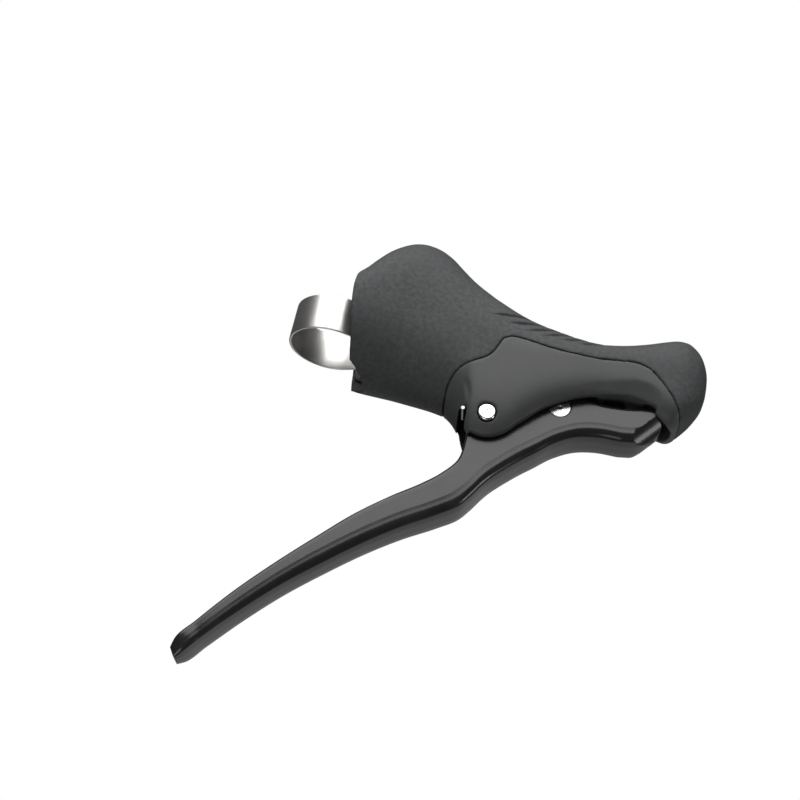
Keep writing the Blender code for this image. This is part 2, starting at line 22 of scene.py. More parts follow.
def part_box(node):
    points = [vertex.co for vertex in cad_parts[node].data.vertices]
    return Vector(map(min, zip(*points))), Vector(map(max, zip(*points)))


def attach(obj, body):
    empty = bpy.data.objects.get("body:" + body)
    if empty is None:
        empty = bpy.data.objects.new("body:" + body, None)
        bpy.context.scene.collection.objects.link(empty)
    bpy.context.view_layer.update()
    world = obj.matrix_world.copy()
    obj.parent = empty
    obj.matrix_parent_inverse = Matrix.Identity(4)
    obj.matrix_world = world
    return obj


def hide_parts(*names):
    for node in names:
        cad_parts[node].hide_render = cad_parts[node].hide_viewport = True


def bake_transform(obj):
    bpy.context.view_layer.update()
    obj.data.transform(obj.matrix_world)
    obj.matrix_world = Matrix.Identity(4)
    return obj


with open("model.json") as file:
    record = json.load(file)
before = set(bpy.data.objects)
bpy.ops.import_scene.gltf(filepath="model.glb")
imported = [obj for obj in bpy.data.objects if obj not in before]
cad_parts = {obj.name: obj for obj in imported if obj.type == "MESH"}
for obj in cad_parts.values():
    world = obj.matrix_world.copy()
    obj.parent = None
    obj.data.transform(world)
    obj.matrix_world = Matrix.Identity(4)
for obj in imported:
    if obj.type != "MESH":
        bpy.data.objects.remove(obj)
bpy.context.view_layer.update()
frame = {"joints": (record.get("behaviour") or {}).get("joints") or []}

MM = 0.001
hinges = {joint["name"]: Vector(joint["pos_m"]) / MM for joint in frame["joints"]}
PIVOT = Vector((41.0, 0.0, -24.0))
DATUM = hinges["lever_pull"] - PIVOT
ANCHOR = hinges["anchor_turn"] - DATUM
BAR_X = -DATUM.x
FORWARD = Vector((1.0, 0.0, 0.0))
ACROSS = Vector((0.0, 1.0, 0.0))
UP = Vector((0.0, 0.0, 1.0))


def placed(point):
    """A point measured from the grip's datum, in the frame's metres."""
    return (Vector(point) + DATUM) * MM


def measured(node):
    """The lowest and highest corner of a CAD node, from the grip's datum."""
    return [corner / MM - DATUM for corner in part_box(node)]


print("the handlebar is", BAR_X, "mm from the datum; cable anchor at", tuple(ANCHOR))

# %% [markdown]
# ## Helpers for meshes
#
# Most pieces are skins over a row of rings: a turned pin is a row of circles,
# the grip is a row of rounded cross-sections. One function makes any of them,
# in millimetres, and others cut, round and thin the result. Modifiers do the
# work, and each is turned into plain mesh at once, so that what is left
# is simple to export.

# %% Skins over rings
DOUBLES = 1e-6


def mesh_object(name, bm):
    """Put a finished mesh into an object at the origin."""
    mesh = bpy.data.meshes.new(name)
    bm.to_mesh(mesh)
    bm.free()
    obj = bpy.data.objects.new(name, mesh)
    bpy.context.scene.collection.objects.link(obj)
    return obj


def path_object(name, lines, closed=False):
    """Rows of edges through rows of points."""
    bm = bmesh.new()
    for points in lines:
        verts = [bm.verts.new(placed(point)) for point in points]
        for first, second in zip(verts, verts[1:]):
            bm.edges.new((first, second))
        if closed:
            bm.edges.new((verts[-1], verts[0]))
    return mesh_object(name, bm)


def loft(name, rings, closed=False):
    """Skin a row of rings of points; the ends are capped unless the row closes."""
    bm = bmesh.new()
    loops = [[bm.verts.new(placed(point)) for point in ring] for ring in rings]
    pairs = list(zip(loops, loops[1:]))
    if closed:
        pairs.append((loops[-1], loops[0]))
    for first, second in pairs:
        for i in range(len(first)):
            j = (i + 1) % len(first)
            bm.faces.new((first[i], first[j], second[j], second[i]))
    bmesh.ops.triangulate(bm, faces=bm.faces)
    if not closed:
        bm.faces.new(loops[0])
        bm.faces.new(loops[-1])
    bmesh.ops.remove_doubles(bm, verts=bm.verts, dist=DOUBLES)
    bmesh.ops.recalc_face_normals(bm, faces=bm.faces)
    return mesh_object(name, bm)


def side_prism(name, outline, y_low, y_high):
    """Push a side outline of (x, z) across the part."""
    return loft(name, [[(x, y, z) for x, z in outline] for y in (y_low, y_high)])


def plan_prism(name, outline, z_low, z_high):
    """Push a plan outline of (x, y) up the bar."""
    return loft(name, [[(x, y, z) for x, y in outline] for z in (z_low, z_high)])


def box(name, x_range, y_range, z_range):
    """A block, only ever used to cut with."""
    (x0, x1), (z0, z1) = x_range, z_range
    return side_prism(name, [(x0, z0), (x1, z0), (x1, z1), (x0, z1)], *y_range)


def turned(name, profile, start, axis, segments=96, hollow=False):
    """Turn a profile of (distance along the axis, radius) about the axis."""
    axis = Vector(axis).normalized()
    side = axis.orthogonal().normalized()
    other = axis.cross(side)
    rings = []
    for along, radius in profile:
        ring = []
        for i in range(segments):
            angle = math.tau * i / segments
            spoke = side * math.cos(angle) + other * math.sin(angle)
            ring.append(Vector(start) + axis * along + spoke * radius)
        rings.append(ring)
    return loft(name, rings, closed=hollow)


def rod(name, start, axis, length, radius, segments=96):
    """A round bar, only ever used to cut with."""
    return turned(name, [(0.0, radius), (length, radius)], start, axis, segments)


# %% Modifiers turned into plain mesh
def settle(obj):
    """Turn an object's modifiers into plain mesh."""
    depsgraph = bpy.context.evaluated_depsgraph_get()
    mesh = bpy.data.meshes.new_from_object(obj.evaluated_get(depsgraph))
    obj.modifiers.clear()
    obj.data = mesh
    return obj


def combine(target, other, operation):
    """Join, cut or intersect two solids and keep the result in the first."""
    modifier = target.modifiers.new(operation, "BOOLEAN")
    modifier.operation = operation
    modifier.solver = "EXACT"
    modifier.object = other
    settle(target)
    bpy.data.objects.remove(other, do_unlink=True)


def cut(target, *cutters):
    """Take each cutter away from the target."""
    for cutter in cutters:
        combine(target, cutter, "DIFFERENCE")


def melt(obj, voxel, passes):
    """Round every edge a little: one even skin of small faces, then a smoothing."""
    remesh = obj.modifiers.new("even skin", "REMESH")
    remesh.mode = "VOXEL"
    remesh.voxel_size = voxel * MM
    smooth = obj.modifiers.new("rounding", "SMOOTH")
    smooth.factor = 0.5
    smooth.iterations = passes
    settle(obj)


MOST_TRIANGLES = 190000


def thin(obj):
    """Bring a mesh down to at most MOST_TRIANGLES triangles."""
    count = sum(len(polygon.vertices) - 2 for polygon in obj.data.polygons)
    if count > MOST_TRIANGLES:
        decimate = obj.modifiers.new("thinning", "DECIMATE")
        decimate.ratio = MOST_TRIANGLES / count
        settle(obj)
    return obj


def shade(obj, degrees=35.0):
    """Smooth shading, with edges sharper than an angle kept crisp."""
    for polygon in obj.data.polygons:
        polygon.use_smooth = True
    obj.data.set_sharp_from_angle(angle=math.radians(degrees))
    return obj


# %% [markdown]
# ## Helpers for tables of sections
#
# The grip and the blade are given by a few measured sections. Straight lines
# between them would show as flats, so a smooth curve is passed through each
# column of the table, with the distance along the piece as its parameter.

# %% A smooth curve through a table
def through(table, step):
    """Pass a smooth curve through the rows of a table, about a step apart."""
    rows = np.array(table, float)
    gaps = np.linalg.norm(np.diff(rows, axis=0), axis=1)
    at = np.concatenate([[0.0], np.cumsum(gaps)])
    slope = np.gradient(rows, at, axis=0)
    made = []
    for i, gap in enumerate(gaps):
        count = max(int(math.ceil(gap / step)), 1)
        t = np.linspace(0.0, 1.0, count, endpoint=False)[:, None]
        made.append(
            (2 * t**3 - 3 * t**2 + 1) * rows[i] + (t**3 - 2 * t**2 + t) * gap * slope[i]
            + (3 * t**2 - 2 * t**3) * rows[i + 1] + (t**3 - t**2) * gap * slope[i + 1]
        )
    made.append(rows[-1:])
    return np.concatenate(made)


def soft_step(start, end, value):
    """Go smoothly from 0 at the start to 1 at the end."""
    t = min(max((value - start) / (end - start), 0.0), 1.0)
    return t * t * (3.0 - 2.0 * t)


def power(value, exponent):
    """A power that keeps the sign."""
    return math.copysign(abs(value) ** exponent, value)


# %% [markdown]
# ## Helpers for node trees
#
# Shaders and Geometry Nodes are both trees of sockets. `Wire` wraps one output
# socket, so that `1 - mask * 0.5` adds the Math nodes that it needs, and
# `put` makes any other node from its type, its settings and its inputs.

# %% Wires and nodes
SMOOTH = {"interpolation_type": "SMOOTHSTEP"}


class Wire:
    """An output socket that works in Python sums."""

    def __init__(self, tree, socket):
        self.tree = tree
        self.socket = socket

    def sum(self, operation, first, second):
        return put(self.tree, "ShaderNodeMath", {"operation": operation}, {0: first, 1: second})

    def __add__(self, other):
        return self.sum("ADD", self, other)

    def __sub__(self, other):
        return self.sum("SUBTRACT", self, other)

    def __rsub__(self, other):
        return self.sum("SUBTRACT", other, self)

    def __mul__(self, other):
        return self.sum("MULTIPLY", self, other)

    __radd__ = __add__
    __rmul__ = __mul__

    def size(self):
        """The value without its sign."""
        return put(self.tree, "ShaderNodeMath", {"operation": "ABSOLUTE"}, {0: self})

    def between(self, low, high):
        """A smooth 0 to 1 as the value goes from low to high."""
        inputs = {"Value": self, "From Min": low, "From Max": high}
        return put(self.tree, "ShaderNodeMapRange", SMOOTH, inputs)


def put(tree, kind, settings=None, inputs=None, output=0):
    """Make a node: its settings first, then its inputs, as values or as wires."""
    node = tree.nodes.new(kind)
    for name, value in (settings or {}).items():
        setattr(node, name, value)
    for key, value in (inputs or {}).items():
        if isinstance(value, Wire):
            tree.links.new(value.socket, node.inputs[key])
        else:
            node.inputs[key].default_value = value
    return Wire(tree, node.outputs[output]) if node.outputs else None


def node_maker(name, inputs):
    """Start a Geometry Nodes tree with named inputs; gives the tree and its wires."""
    tree = bpy.data.node_groups.new(name, "GeometryNodeTree")
    tree.interface.new_socket("Geometry", in_out="INPUT", socket_type="NodeSocketGeometry")
    for label, kind in inputs.items():
        tree.interface.new_socket(label, in_out="INPUT", socket_type="NodeSocket" + kind)
    tree.interface.new_socket("Geometry", in_out="OUTPUT", socket_type="NodeSocketGeometry")
    group = tree.nodes.new("NodeGroupInput")
    wires = {socket.name: Wire(tree, socket) for socket in group.outputs if socket.name}
    return tree, wires


def close(tree, geometry):
    """End a tree: real instances, a material, smooth shading, the output."""
    real = put(tree, "GeometryNodeRealizeInstances", None, {"Geometry": geometry})
    smooth = put(tree, "GeometryNodeSetShadeSmooth", None, {"Geometry": real})
    painted = put(tree, "GeometryNodeSetMaterial", None, {"Geometry": smooth})
    out = tree.nodes.new("NodeGroupOutput")
    tree.links.new(painted.socket, out.inputs["Geometry"])


def close_beside(tree, geometry, middle, given):
    """End a tree: turn new geometry along the bolt and keep what was there."""
    place = {"Geometry": geometry, "Translation": middle, "Rotation": (0.0, math.pi / 2.0, 0.0)}
    laid = put(tree, "GeometryNodeTransform", None, place)
    joined = tree.nodes.new("GeometryNodeJoinGeometry")
    for wire in (given["Geometry"], laid):
        tree.links.new(wire.socket, joined.inputs[0])
    close(tree, Wire(tree, joined.outputs[0]))


def grow(obj, tree, **values):
    """Run a tree on an object with the named inputs and keep the plain mesh."""
    modifier = obj.modifiers.new(tree.name, "NODES")
    modifier.node_group = tree
    for item in tree.interface.items_tree:
        key = item.name.replace(" ", "_").lower()
        if item.in_out == "INPUT" and key in values:
            modifier[item.identifier] = values[key]
    settle(obj)
    bm = bmesh.new()
    bm.from_mesh(obj.data)
    bmesh.ops.remove_doubles(bm, verts=bm.verts, dist=DOUBLES)
    bm.to_mesh(obj.data)
    bm.free()


# %% [markdown]
# ## Helpers for finishes
#
# Every finish is a Principled shader with small, quiet variation: a grain in
# the bump, a slow drift in the colour and the roughness. The coordinates are the
# object's own, in millimetres, so a grain keeps its real size and stays on
# the piece when the piece moves.

# %% Shader helpers
class Finish:
    """A material whose Principled shader is fed by sums of wires."""

    def __init__(self, name, colour, roughness, metallic=0.0, **constants):
        self.material = bpy.data.materials.new(name)
        self.material.use_nodes = True
        self.tree = self.material.node_tree
        self.shader = self.tree.nodes["Principled BSDF"]
        self.shader.inputs["Base Color"].default_value = (*colour, 1.0)
        self.shader.inputs["Roughness"].default_value = roughness
        self.shader.inputs["Metallic"].default_value = metallic
        for key, value in constants.items():
            self.shader.inputs[key.replace("_", " ")].default_value = value
        where = put(self.tree, "ShaderNodeTexCoord", None, None, 3)
        self.place = self.stretched((1.0, 1.0, 1.0), where)

    def stretched(self, scale, where=None):
        """Object coordinates in millimetres, stretched along the axes."""
        source = where or self.place
        factor = 1.0 / MM if where else 1.0
        scale = tuple(factor * s for s in scale)
        return put(self.tree, "ShaderNodeMapping", None, {"Vector": source, "Scale": scale})

    def centred(self, point, scale=(1.0, 1.0, 1.0)):
        """Coordinates measured from a point given from the grip's datum."""
        shift = tuple(-p * s for p, s in zip(Vector(point) + DATUM, scale))
        inputs = {"Vector": self.place, "Location": shift, "Scale": scale}
        return put(self.tree, "ShaderNodeMapping", None, inputs)

    def noise(self, scale, detail=2.0, where=None):
        inputs = {"Vector": where or self.place, "Scale": scale, "Detail": detail}
        return put(self.tree, "ShaderNodeTexNoise", None, inputs)

    def axis(self, number):
        """One coordinate of the place on the piece, in millimetres."""
        return put(self.tree, "ShaderNodeSeparateXYZ", None, {"Vector": self.place}, number)

    def length(self, where):
        return put(self.tree, "ShaderNodeVectorMath", {"operation": "LENGTH"}, {0: where}, 1)

    def rings(self, where, scale):
        settings = {"wave_type": "RINGS", "rings_direction": "SPHERICAL"}
        inputs = {"Vector": where, "Scale": scale, "Distortion": 0.6, "Detail": 1.0}
        return put(self.tree, "ShaderNodeTexWave", settings, inputs)

    def blended(self, mask, first, second):
        """A colour between two, by a mask."""
        inputs = {"Factor": mask, 6: first, 7: second}
        for key in (6, 7):
            if not isinstance(inputs[key], Wire):
                inputs[key] = (*inputs[key], 1.0)
        return put(self.tree, "ShaderNodeMix", {"data_type": "RGBA"}, inputs, 2)

    def feed(self, socket, wire):
        self.tree.links.new(wire.socket, self.shader.inputs[socket])

    def bump(self, height, depth):
        """Raise the surface by up to a depth in millimetres."""
        inputs = {"Height": height, "Distance": depth * MM, "Strength": 1.0}
        self.feed("Normal", put(self.tree, "ShaderNodeBump", None, inputs))


def wear(obj, finish, body, slot, *nodes):
    """Give a piece its finish, its body and the CAD nodes it stands for; the slot argument is not used."""
    obj.data.materials.clear()
    obj.data.materials.append(finish.material)
    for polygon in obj.data.polygons:
        polygon.material_index = 0
    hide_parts(*nodes)
    if body:
        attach(obj, body)
    triangles = sum(len(polygon.vertices) - 2 for polygon in obj.data.polygons)
    print(f"{obj.name}: {triangles} triangles on {body or 'a blend'}")


# %% [markdown]
# ## The camera, the floor and the light
#
# The lever is seen from its right side and a little from below, with a long lens.
# Gloss black shows what it reflects. One very large soft panel above the camera
# makes the even grey sheen on the blade's side and another behind the lever makes
# the one on its front. Nothing bright stands between the two, so the rounded edge
# between side and front reads as a dark line. A dim panel below lifts the undersides,
# and a small one in front lights the blade's top end. The floor is only looked
# at: its bounce, which would fill the shadows, is switched off, and it glows a
# little so that it stays pale far from the panels.

# %% Camera
LEAN = math.radians(12.0)
LIFT = math.radians(62.0)
LENS = 84.42
CAMERA_AT = (69.655, -508.992, -283.723)
right = Vector((math.cos(LEAN), 0.0, math.sin(LEAN)))
along = Vector((-math.sin(LEAN), 0.0, math.cos(LEAN)))
out = Vector((0.0, -1.0, 0.0))
back = math.sin(LIFT) * out - math.cos(LIFT) * along
up = math.sin(LIFT) * along + math.cos(LIFT) * out

lens = bpy.data.cameras.new("camera")
lens.lens = LENS
lens.sensor_width = 36.0
lens.clip_start = 0.01
lens.clip_end = 20.0
camera = bpy.data.objects.new("camera", lens)
turn = Matrix((right, up, back)).transposed().to_4x4()
camera.matrix_world = Matrix.Translation(placed(CAMERA_AT)) @ turn
bpy.context.scene.collection.objects.link(camera)
bpy.context.scene.camera = camera
print("the camera looks along", tuple(round(v, 3) for v in -back))


# %% Soft light
LIT_POINT = (35.0, 0.0, -40.0)


def panel(name, towards, distance, size, watts):
    """A square soft light that faces the lever; distance and size are in metres."""
    lamp = bpy.data.lights.new(name, "AREA")
    lamp.shape = "SQUARE"
    lamp.size = size
    lamp.energy = watts
    direction = Vector(towards).normalized()
    obj = bpy.data.objects.new(name, lamp)
    obj.location = placed(LIT_POINT) + direction * distance
    obj.rotation_mode = "QUATERNION"
    obj.rotation_quaternion = direction.to_track_quat("Z", "Y")
    obj.visible_camera = False
    bpy.context.scene.collection.objects.link(obj)


panel("key panel", (-0.14, -0.62, 0.76), 1.5, 2.1, 46.0)
panel("rear panel", (0.20, 0.93, -0.26), 1.2, 1.5, 3.1)
panel("low panel", (-0.30, -0.25, -1.0), 1.3, 0.9, 5.0)
panel("front panel", (0.94, 0.06, -0.25), 1.2, 0.40, 2.2)

# %% Floor and surround
FLOOR_HALF = 4000.0
FLOOR_LOW, FLOOR_TOP = -620.0, -600.0
corners = [(FLOOR_HALF * x, FLOOR_HALF * y) for x, y in ((-1.0, -1.0), (1.0, -1.0), (1.0, 1.0), (-1.0, 1.0))]
floor = plan_prism("floor", corners, FLOOR_LOW, FLOOR_TOP)
floor.visible_diffuse = floor.visible_glossy = floor.visible_shadow = False
glow = {"Emission_Color": (0.95, 0.96, 1.0, 1.0), "Emission_Strength": 0.55}
pale = Finish("pale paper", (0.80, 0.80, 0.79), 0.85, **glow)
pale.feed("Roughness", pale.noise(0.02) * 0.1 + 0.8)
floor.data.materials.append(pale.material)

world = bpy.data.worlds.new("surround")
bpy.context.scene.world = world
world.use_nodes = True
sky = world.node_tree
sky.nodes.clear()
seen = put(sky, "ShaderNodeLightPath", None, None, 0)
dim = put(sky, "ShaderNodeBackground", None, {"Color": (0.95, 0.97, 1.0, 1.0), "Strength": 0.08})
white = put(sky, "ShaderNodeBackground", None, {"Color": (1.0, 1.0, 1.0, 1.0), "Strength": 1.0})
mixed = put(sky, "ShaderNodeMixShader", None, {0: seen, 1: dim, 2: white})
put(sky, "ShaderNodeOutputWorld", None, {"Surface": mixed})
bpy.context.scene.view_settings.view_transform = "Standard"

# %% [markdown]
# ## The shape of the grip
#
# The rubber hood and the bracket under it share one outer shape: wide where it
# meets the bar, waisted above the fingers and rising to a horn at the front.
# It is built from rounded cross-sections, squarer below than above, with
# the sides turned under below a crease. The bracket is the same shape drawn in
# by the thickness of the rubber, so the two always fit.

# %% Cross-sections of the grip
# x, top, bottom, half width, widest height, crease height
GRIP_SECTIONS = [
    (-8.0, 16.6, -16.2, 19.4, 5.0, -40.0),
    (-5.0, 20.4, -16.6, 19.3, 5.0, -40.0),
    (-2.0, 25.4, -16.9, 19.0, 5.0, -40.0),
    (1.0, 29.6, -17.3, 18.5, 5.0, -40.0),
    (4.0, 32.4, -17.6, 17.9, 5.0, -40.0),
    (7.0, 34.3, -17.9, 17.3, 5.0, -40.0),
    (10.0, 35.2, -18.2, 16.6, 5.0, -40.0),
    (15.5, 34.6, -18.9, 15.6, 4.0, -40.0),
    (20.0, 32.2, -19.4, 15.1, 3.0, -40.0),
    (24.0, 28.8, -20.0, 14.8, 2.0, -40.0),
    (28.0, 25.5, -21.2, 14.5, 1.0, -40.0),
    (32.0, 22.8, -25.2, 14.3, 0.0, -40.0),
    (34.0, 21.6, -28.6, 14.3, -0.5, -40.0),
    (36.0, 20.4, -31.6, 14.2, -1.0, -40.0),
    (38.5, 19.1, -32.8, 14.2, -1.5, -38.0),
    (41.0, 17.8, -33.0, 14.2, -2.0, -36.0),
    (46.0, 15.5, -31.4, 14.2, -3.0, -28.0),
    (52.0, 13.4, -25.4, 14.1, -3.0, -17.0),
    (58.0, 11.9, -19.4, 13.9, -2.0, -12.0),
    (64.0, 10.6, -15.6, 13.6, -1.0, -8.6),
    (71.0, 10.0, -12.9, 13.1, 0.0, -6.2),
    (78.0, 11.2, -11.4, 12.7, 1.0, -4.5),
    (84.0, 13.2, -11.2, 12.4, 1.5, -3.4),
    (89.0, 15.4, -12.2, 12.1, 1.0, -4.4),
    (93.0, 17.0, -13.8, 11.9, 0.5, -8.0),
    (96.0, 17.4, -14.0, 11.5, 0.0, -14.0),
    (98.6, 16.6, -11.6, 10.8, 0.0, -20.0),
    (101.0, 14.6, -8.6, 9.6, 0.5, -20.0),
    (103.0, 11.4, -5.4, 7.8, 1.0, -20.0),
    (104.3, 7.8, -2.8, 5.2, 1.5, -20.0),
    (104.8, 4.2, -0.4, 2.4, 1.5, -20.0),
]
# upper edge of the strip that is set back behind the ear: x, height
RECESS_LINE = [
    (20.0, -9.6), (27.0, -10.2), (31.5, -10.8), (34.4, -13.6), (36.2, -17.6), (37.0, -22.0),
    (37.6, -27.0), (38.4, -40.0),
]
HOOD_WALL = 2.0
HOOD_LIP = 3.4
LIP_LENGTH = 9.0
GAP = 0.3
PARTING_GAP = 0.12
RECESS_DEPTH = 2.3
RECESS_EDGE = 2.9
RECESS_START = 7.0
TURN_UNDER = 0.43
# exponents of the rounding; below, it gets squarer between these two x
ROUND_ABOVE = 2.4
ROUND_BELOW = 2.1
SQUARER = 1.5
SQUARER_FROM, SQUARER_TO = 31.0, 37.0
CORE_REAR_X = -14.0
LEAST_REACH = 0.6
grip_rows = through(GRIP_SECTIONS, 1.0)
recess_curve = through(RECESS_LINE, 0.3)
print(len(grip_rows), "cross-sections from", len(GRIP_SECTIONS))


# %% One cross-section, and the whole grip

def recess(x, z):
    """How far a side is set back, from 0 to 1, in the strip behind the ear."""
    first, last = RECESS_LINE[0][0], RECESS_LINE[-1][0]
    if not first < x < last or z > np.interp(x, recess_curve[:, 0], recess_curve[:, 1]):
        return 0.0
    beyond = np.hypot(recess_curve[:, 0] - x, recess_curve[:, 1] - z).min()
    return soft_step(0.0, RECESS_EDGE, beyond) * soft_step(first, first + RECESS_START, x)


def grip_point(section, inset, angle):
    """The point of a cross-section at an angle from its top."""
    x, top, bottom, half_width, widest, crease = section
    half = max(half_width - inset, LEAST_REACH)
    rise = math.cos(angle)
    under = ROUND_BELOW + SQUARER * soft_step(SQUARER_FROM, SQUARER_TO, x)
    roundness = 2.0 / ROUND_ABOVE if rise > 0.0 else 2.0 / under
    reach = top - inset - widest if rise > 0.0 else widest - bottom - inset
    z = widest + max(reach, LEAST_REACH) * power(rise, roundness)
    y = half * power(math.sin(angle), roundness)
    limit = half - TURN_UNDER * max(crease - z, 0.0) - RECESS_DEPTH * recess(x, z)
    return x, math.copysign(min(abs(y), max(limit, 1.0)), y), z


def grip_solid(name, extra, walled, points=112):
    """The grip as one solid, full size or, if walled, drawn in under the rubber."""
    first, last = grip_rows[0][0], grip_rows[-1][0]
    rings = []
    for section in grip_rows:
        blend = min(max((LIP_LENGTH - section[0]) / LIP_LENGTH, 0.0), 1.0)
        inset = HOOD_WALL + (HOOD_LIP - HOOD_WALL) * blend + extra if walled else 0.0
        shrink = (last - first - inset) / (last - first)
        ring = [grip_point(section, inset, math.tau * (i + 0.5) / points) for i in range(points)]
        rings.append([(first + (x - first) * shrink, y, z) for x, y, z in ring])
    if walled:
        rings[0] = [(CORE_REAR_X, y, z) for x, y, z in rings[0]]
    return loft(name, rings)


# %% [markdown]
# The rubber ends on a thin parting line round the bare side panels of the bracket.
# Both pieces are cut by that one outline, rounded by passing a smooth curve
# through it. The bracket's is drawn in by the gap. Behind the ear the rubber stops
# a little earlier and leaves a slit, and the slot's edge is relieved by a low step.

# %% Outlines seen from the side
PANEL_OUTLINE = [
    (30.0, -46.0), (29.6, -29.0), (28.1, -24.9), (27.3, -21.2), (27.5, -16.0), (30.8, -10.2),
    (34.4, -7.9), (37.2, -6.2), (39.0, -4.2), (40.1, -1.7), (41.4, 1.2), (43.8, 2.5),
    (47.0, 2.5), (51.0, 2.0), (56.0, 1.2), (62.0, 0.8), (71.0, 0.8), (77.0, 1.5),
    (82.6, 2.0), (86.8, 0.8), (90.6, -2.3), (94.3, -6.2), (97.3, -10.2), (99.4, -13.4),
    (100.4, -46.0),
]
HOOD_REAR = [
    (-3.0, 60.0), (-3.6, 26.0), (-5.0, 21.0), (-6.2, 17.0), (-6.7, 12.0), (-6.4, 4.0),
    (-5.4, -2.0), (-4.4, -8.0), (-3.4, -15.0), (-3.0, -60.0),
]
SLOT_OUTLINE = [
    (32.0, 6.4), (44.0, 3.4), (53.0, -3.0), (59.0, -6.4), (67.0, -7.8), (73.0, -9.3),
    (85.0, -9.3), (90.0, -7.4), (96.2, -7.4), (96.2, -60.0), (32.4, -60.0), (32.4, -20.0),
    (32.0, -14.0),
]
SLOT_HALF_WIDTH = 7.9
SLOT_BEHIND = 20.0
MOUTH_SPAN = (36.5, 91.0)
MOUTH_HEIGHT = 2.7
MOUTH_HALF_WIDTH = 10.4
EDGE_SLIT = [
    (29.9, -46.0), (28.6, -29.0), (27.1, -24.6), (26.9, -20.8), (27.5, -16.0), (30.5, -18.0),
    (31.0, -46.0),
]
BAR_RADIUS = 12.0
BOLT_WALL = (16.0, 32.0)
SADDLE_REAR_X = -3.6
# cutters reach this far past the part: to the sides and behind, and up and down
ASIDE = 40.0
BEYOND = 60.0


def drawn_in(outline, distance):
    """Move every corner of a closed outline inwards by a distance."""
    points = [Vector(point) for point in outline]
    area = sum(a.cross(b) for a, b in zip(points, points[1:] + points[:1]))
    sign = 1.0 if area > 0.0 else -1.0
    moved = []
    for i, point in enumerate(points):
        before = (point - points[i - 1]).normalized()
        after = (points[(i + 1) % len(points)] - point).normalized()
        normal = Vector((-before.y - after.y, before.x + after.x)).normalized()
        stretch = max(normal.dot(Vector((-before.y, before.x))), 0.5)
        moved.append(tuple(point + normal * sign * distance / stretch))
    return moved


panel_edge = [tuple(row) for row in through(PANEL_OUTLINE, 1.0)]
hood_rear = [tuple(row) for row in through(HOOD_REAR, 1.5)] + [(-ASIDE, -BEYOND), (-ASIDE, BEYOND)]
print("the parting line has", len(panel_edge), "points")

# %% [markdown]
# ## The rubber hood
#
# A moulded rubber skin, 2 mm thick, pulled over the bracket. Its edges are
# rounded lips, and six tapered grooves on each side of the crest give the
# palm some hold. The skin is the grip less the grip drawn in, melted into one
# even mesh so that every lip becomes round. Geometry Nodes press the grooves in:
# they measure how near each point is to a set of lines and push it inwards.

# %% Lines of the grooves
GROOVES = 6
GROOVE_STEPS = 14
# x of a groove's low and high end, and how much further forward each next one is
GROOVE_LOW, GROOVE_LOW_PITCH = 34.6, 5.6
GROOVE_HIGH, GROOVE_HIGH_PITCH = 48.4, 5.1
# angle from the crest at the low end, and how far it climbs
GROOVE_ANGLE, GROOVE_CLIMB, GROOVE_BEND = 68.0, 38.0, 1.3
GROOVE_LIFT, GROOVE_RUN_OUT = 0.85, 0.6


def groove_line(number, side):
    """A line that starts on the side of the grip and runs up on to its crest."""
    start = GROOVE_LOW + GROOVE_LOW_PITCH * number
    end = GROOVE_HIGH + GROOVE_HIGH_PITCH * number
    line = []
    for i in range(GROOVE_STEPS + 1):
        share = i / GROOVE_STEPS
        x = start + (end - start) * share
        row = grip_rows[np.abs(grip_rows[:, 0] - x).argmin()].copy()
        row[0] = x
        angle = math.radians(GROOVE_ANGLE - GROOVE_CLIMB * share**GROOVE_BEND)
        lift = -GROOVE_LIFT * (1.0 - soft_step(0.0, GROOVE_RUN_OUT, share))
        line.append(grip_point(row, lift, angle * side))
    return line


def groove_tree():
    """Press a skin inwards near a set of lines."""
    inputs = {"Lines": "Object", "Width": "Float", "Depth": "Float"}
    tree, given = node_maker("Pressed grooves", inputs)
    space = {"transform_space": "ORIGINAL"}
    lines = put(tree, "GeometryNodeObjectInfo", space, {"Object": given["Lines"]}, 4)
    near = put(tree, "GeometryNodeProximity", {"target_element": "EDGES"}, {0: lines}, 1)
    span = {"Value": near, "From Min": 0.0, "From Max": given["Width"], "To Min": 1.0, "To Max": 0.0}
    pressed = put(tree, "ShaderNodeMapRange", SMOOTH, span)
    normal = put(tree, "GeometryNodeInputNormal")
    amount = pressed * given["Depth"] * -1.0
    push = put(tree, "ShaderNodeVectorMath", {"operation": "SCALE"}, {0: normal, "Scale": amount})
    moved = put(tree, "GeometryNodeSetPosition", None, {"Geometry": given["Geometry"], "Offset": push})
    close(tree, moved)
    return tree


def finer(obj, inside):
    """Split the faces whose middle passes a test, to carry finer detail."""
    bm = bmesh.new()
    bm.from_mesh(obj.data)
    chosen = [face for face in bm.faces if inside(face.calc_center_median() / MM - DATUM)]
    edges = list({edge for face in chosen for edge in face.edges})
    bmesh.ops.subdivide_edges(bm, edges=edges, cuts=1, use_grid_fill=True)
    bm.to_mesh(obj.data)
    bm.free()
    print(f"{obj.name}: {len(chosen)} faces made finer")


def by_the_grooves(p):
    """Whether a point is on the part of the hood that has the grooves."""
    return 35.0 < p.x < 76.0 and abs(p.y) < 14.0 and p.z > max(2.0, 9.4 - p.x * 0.19)


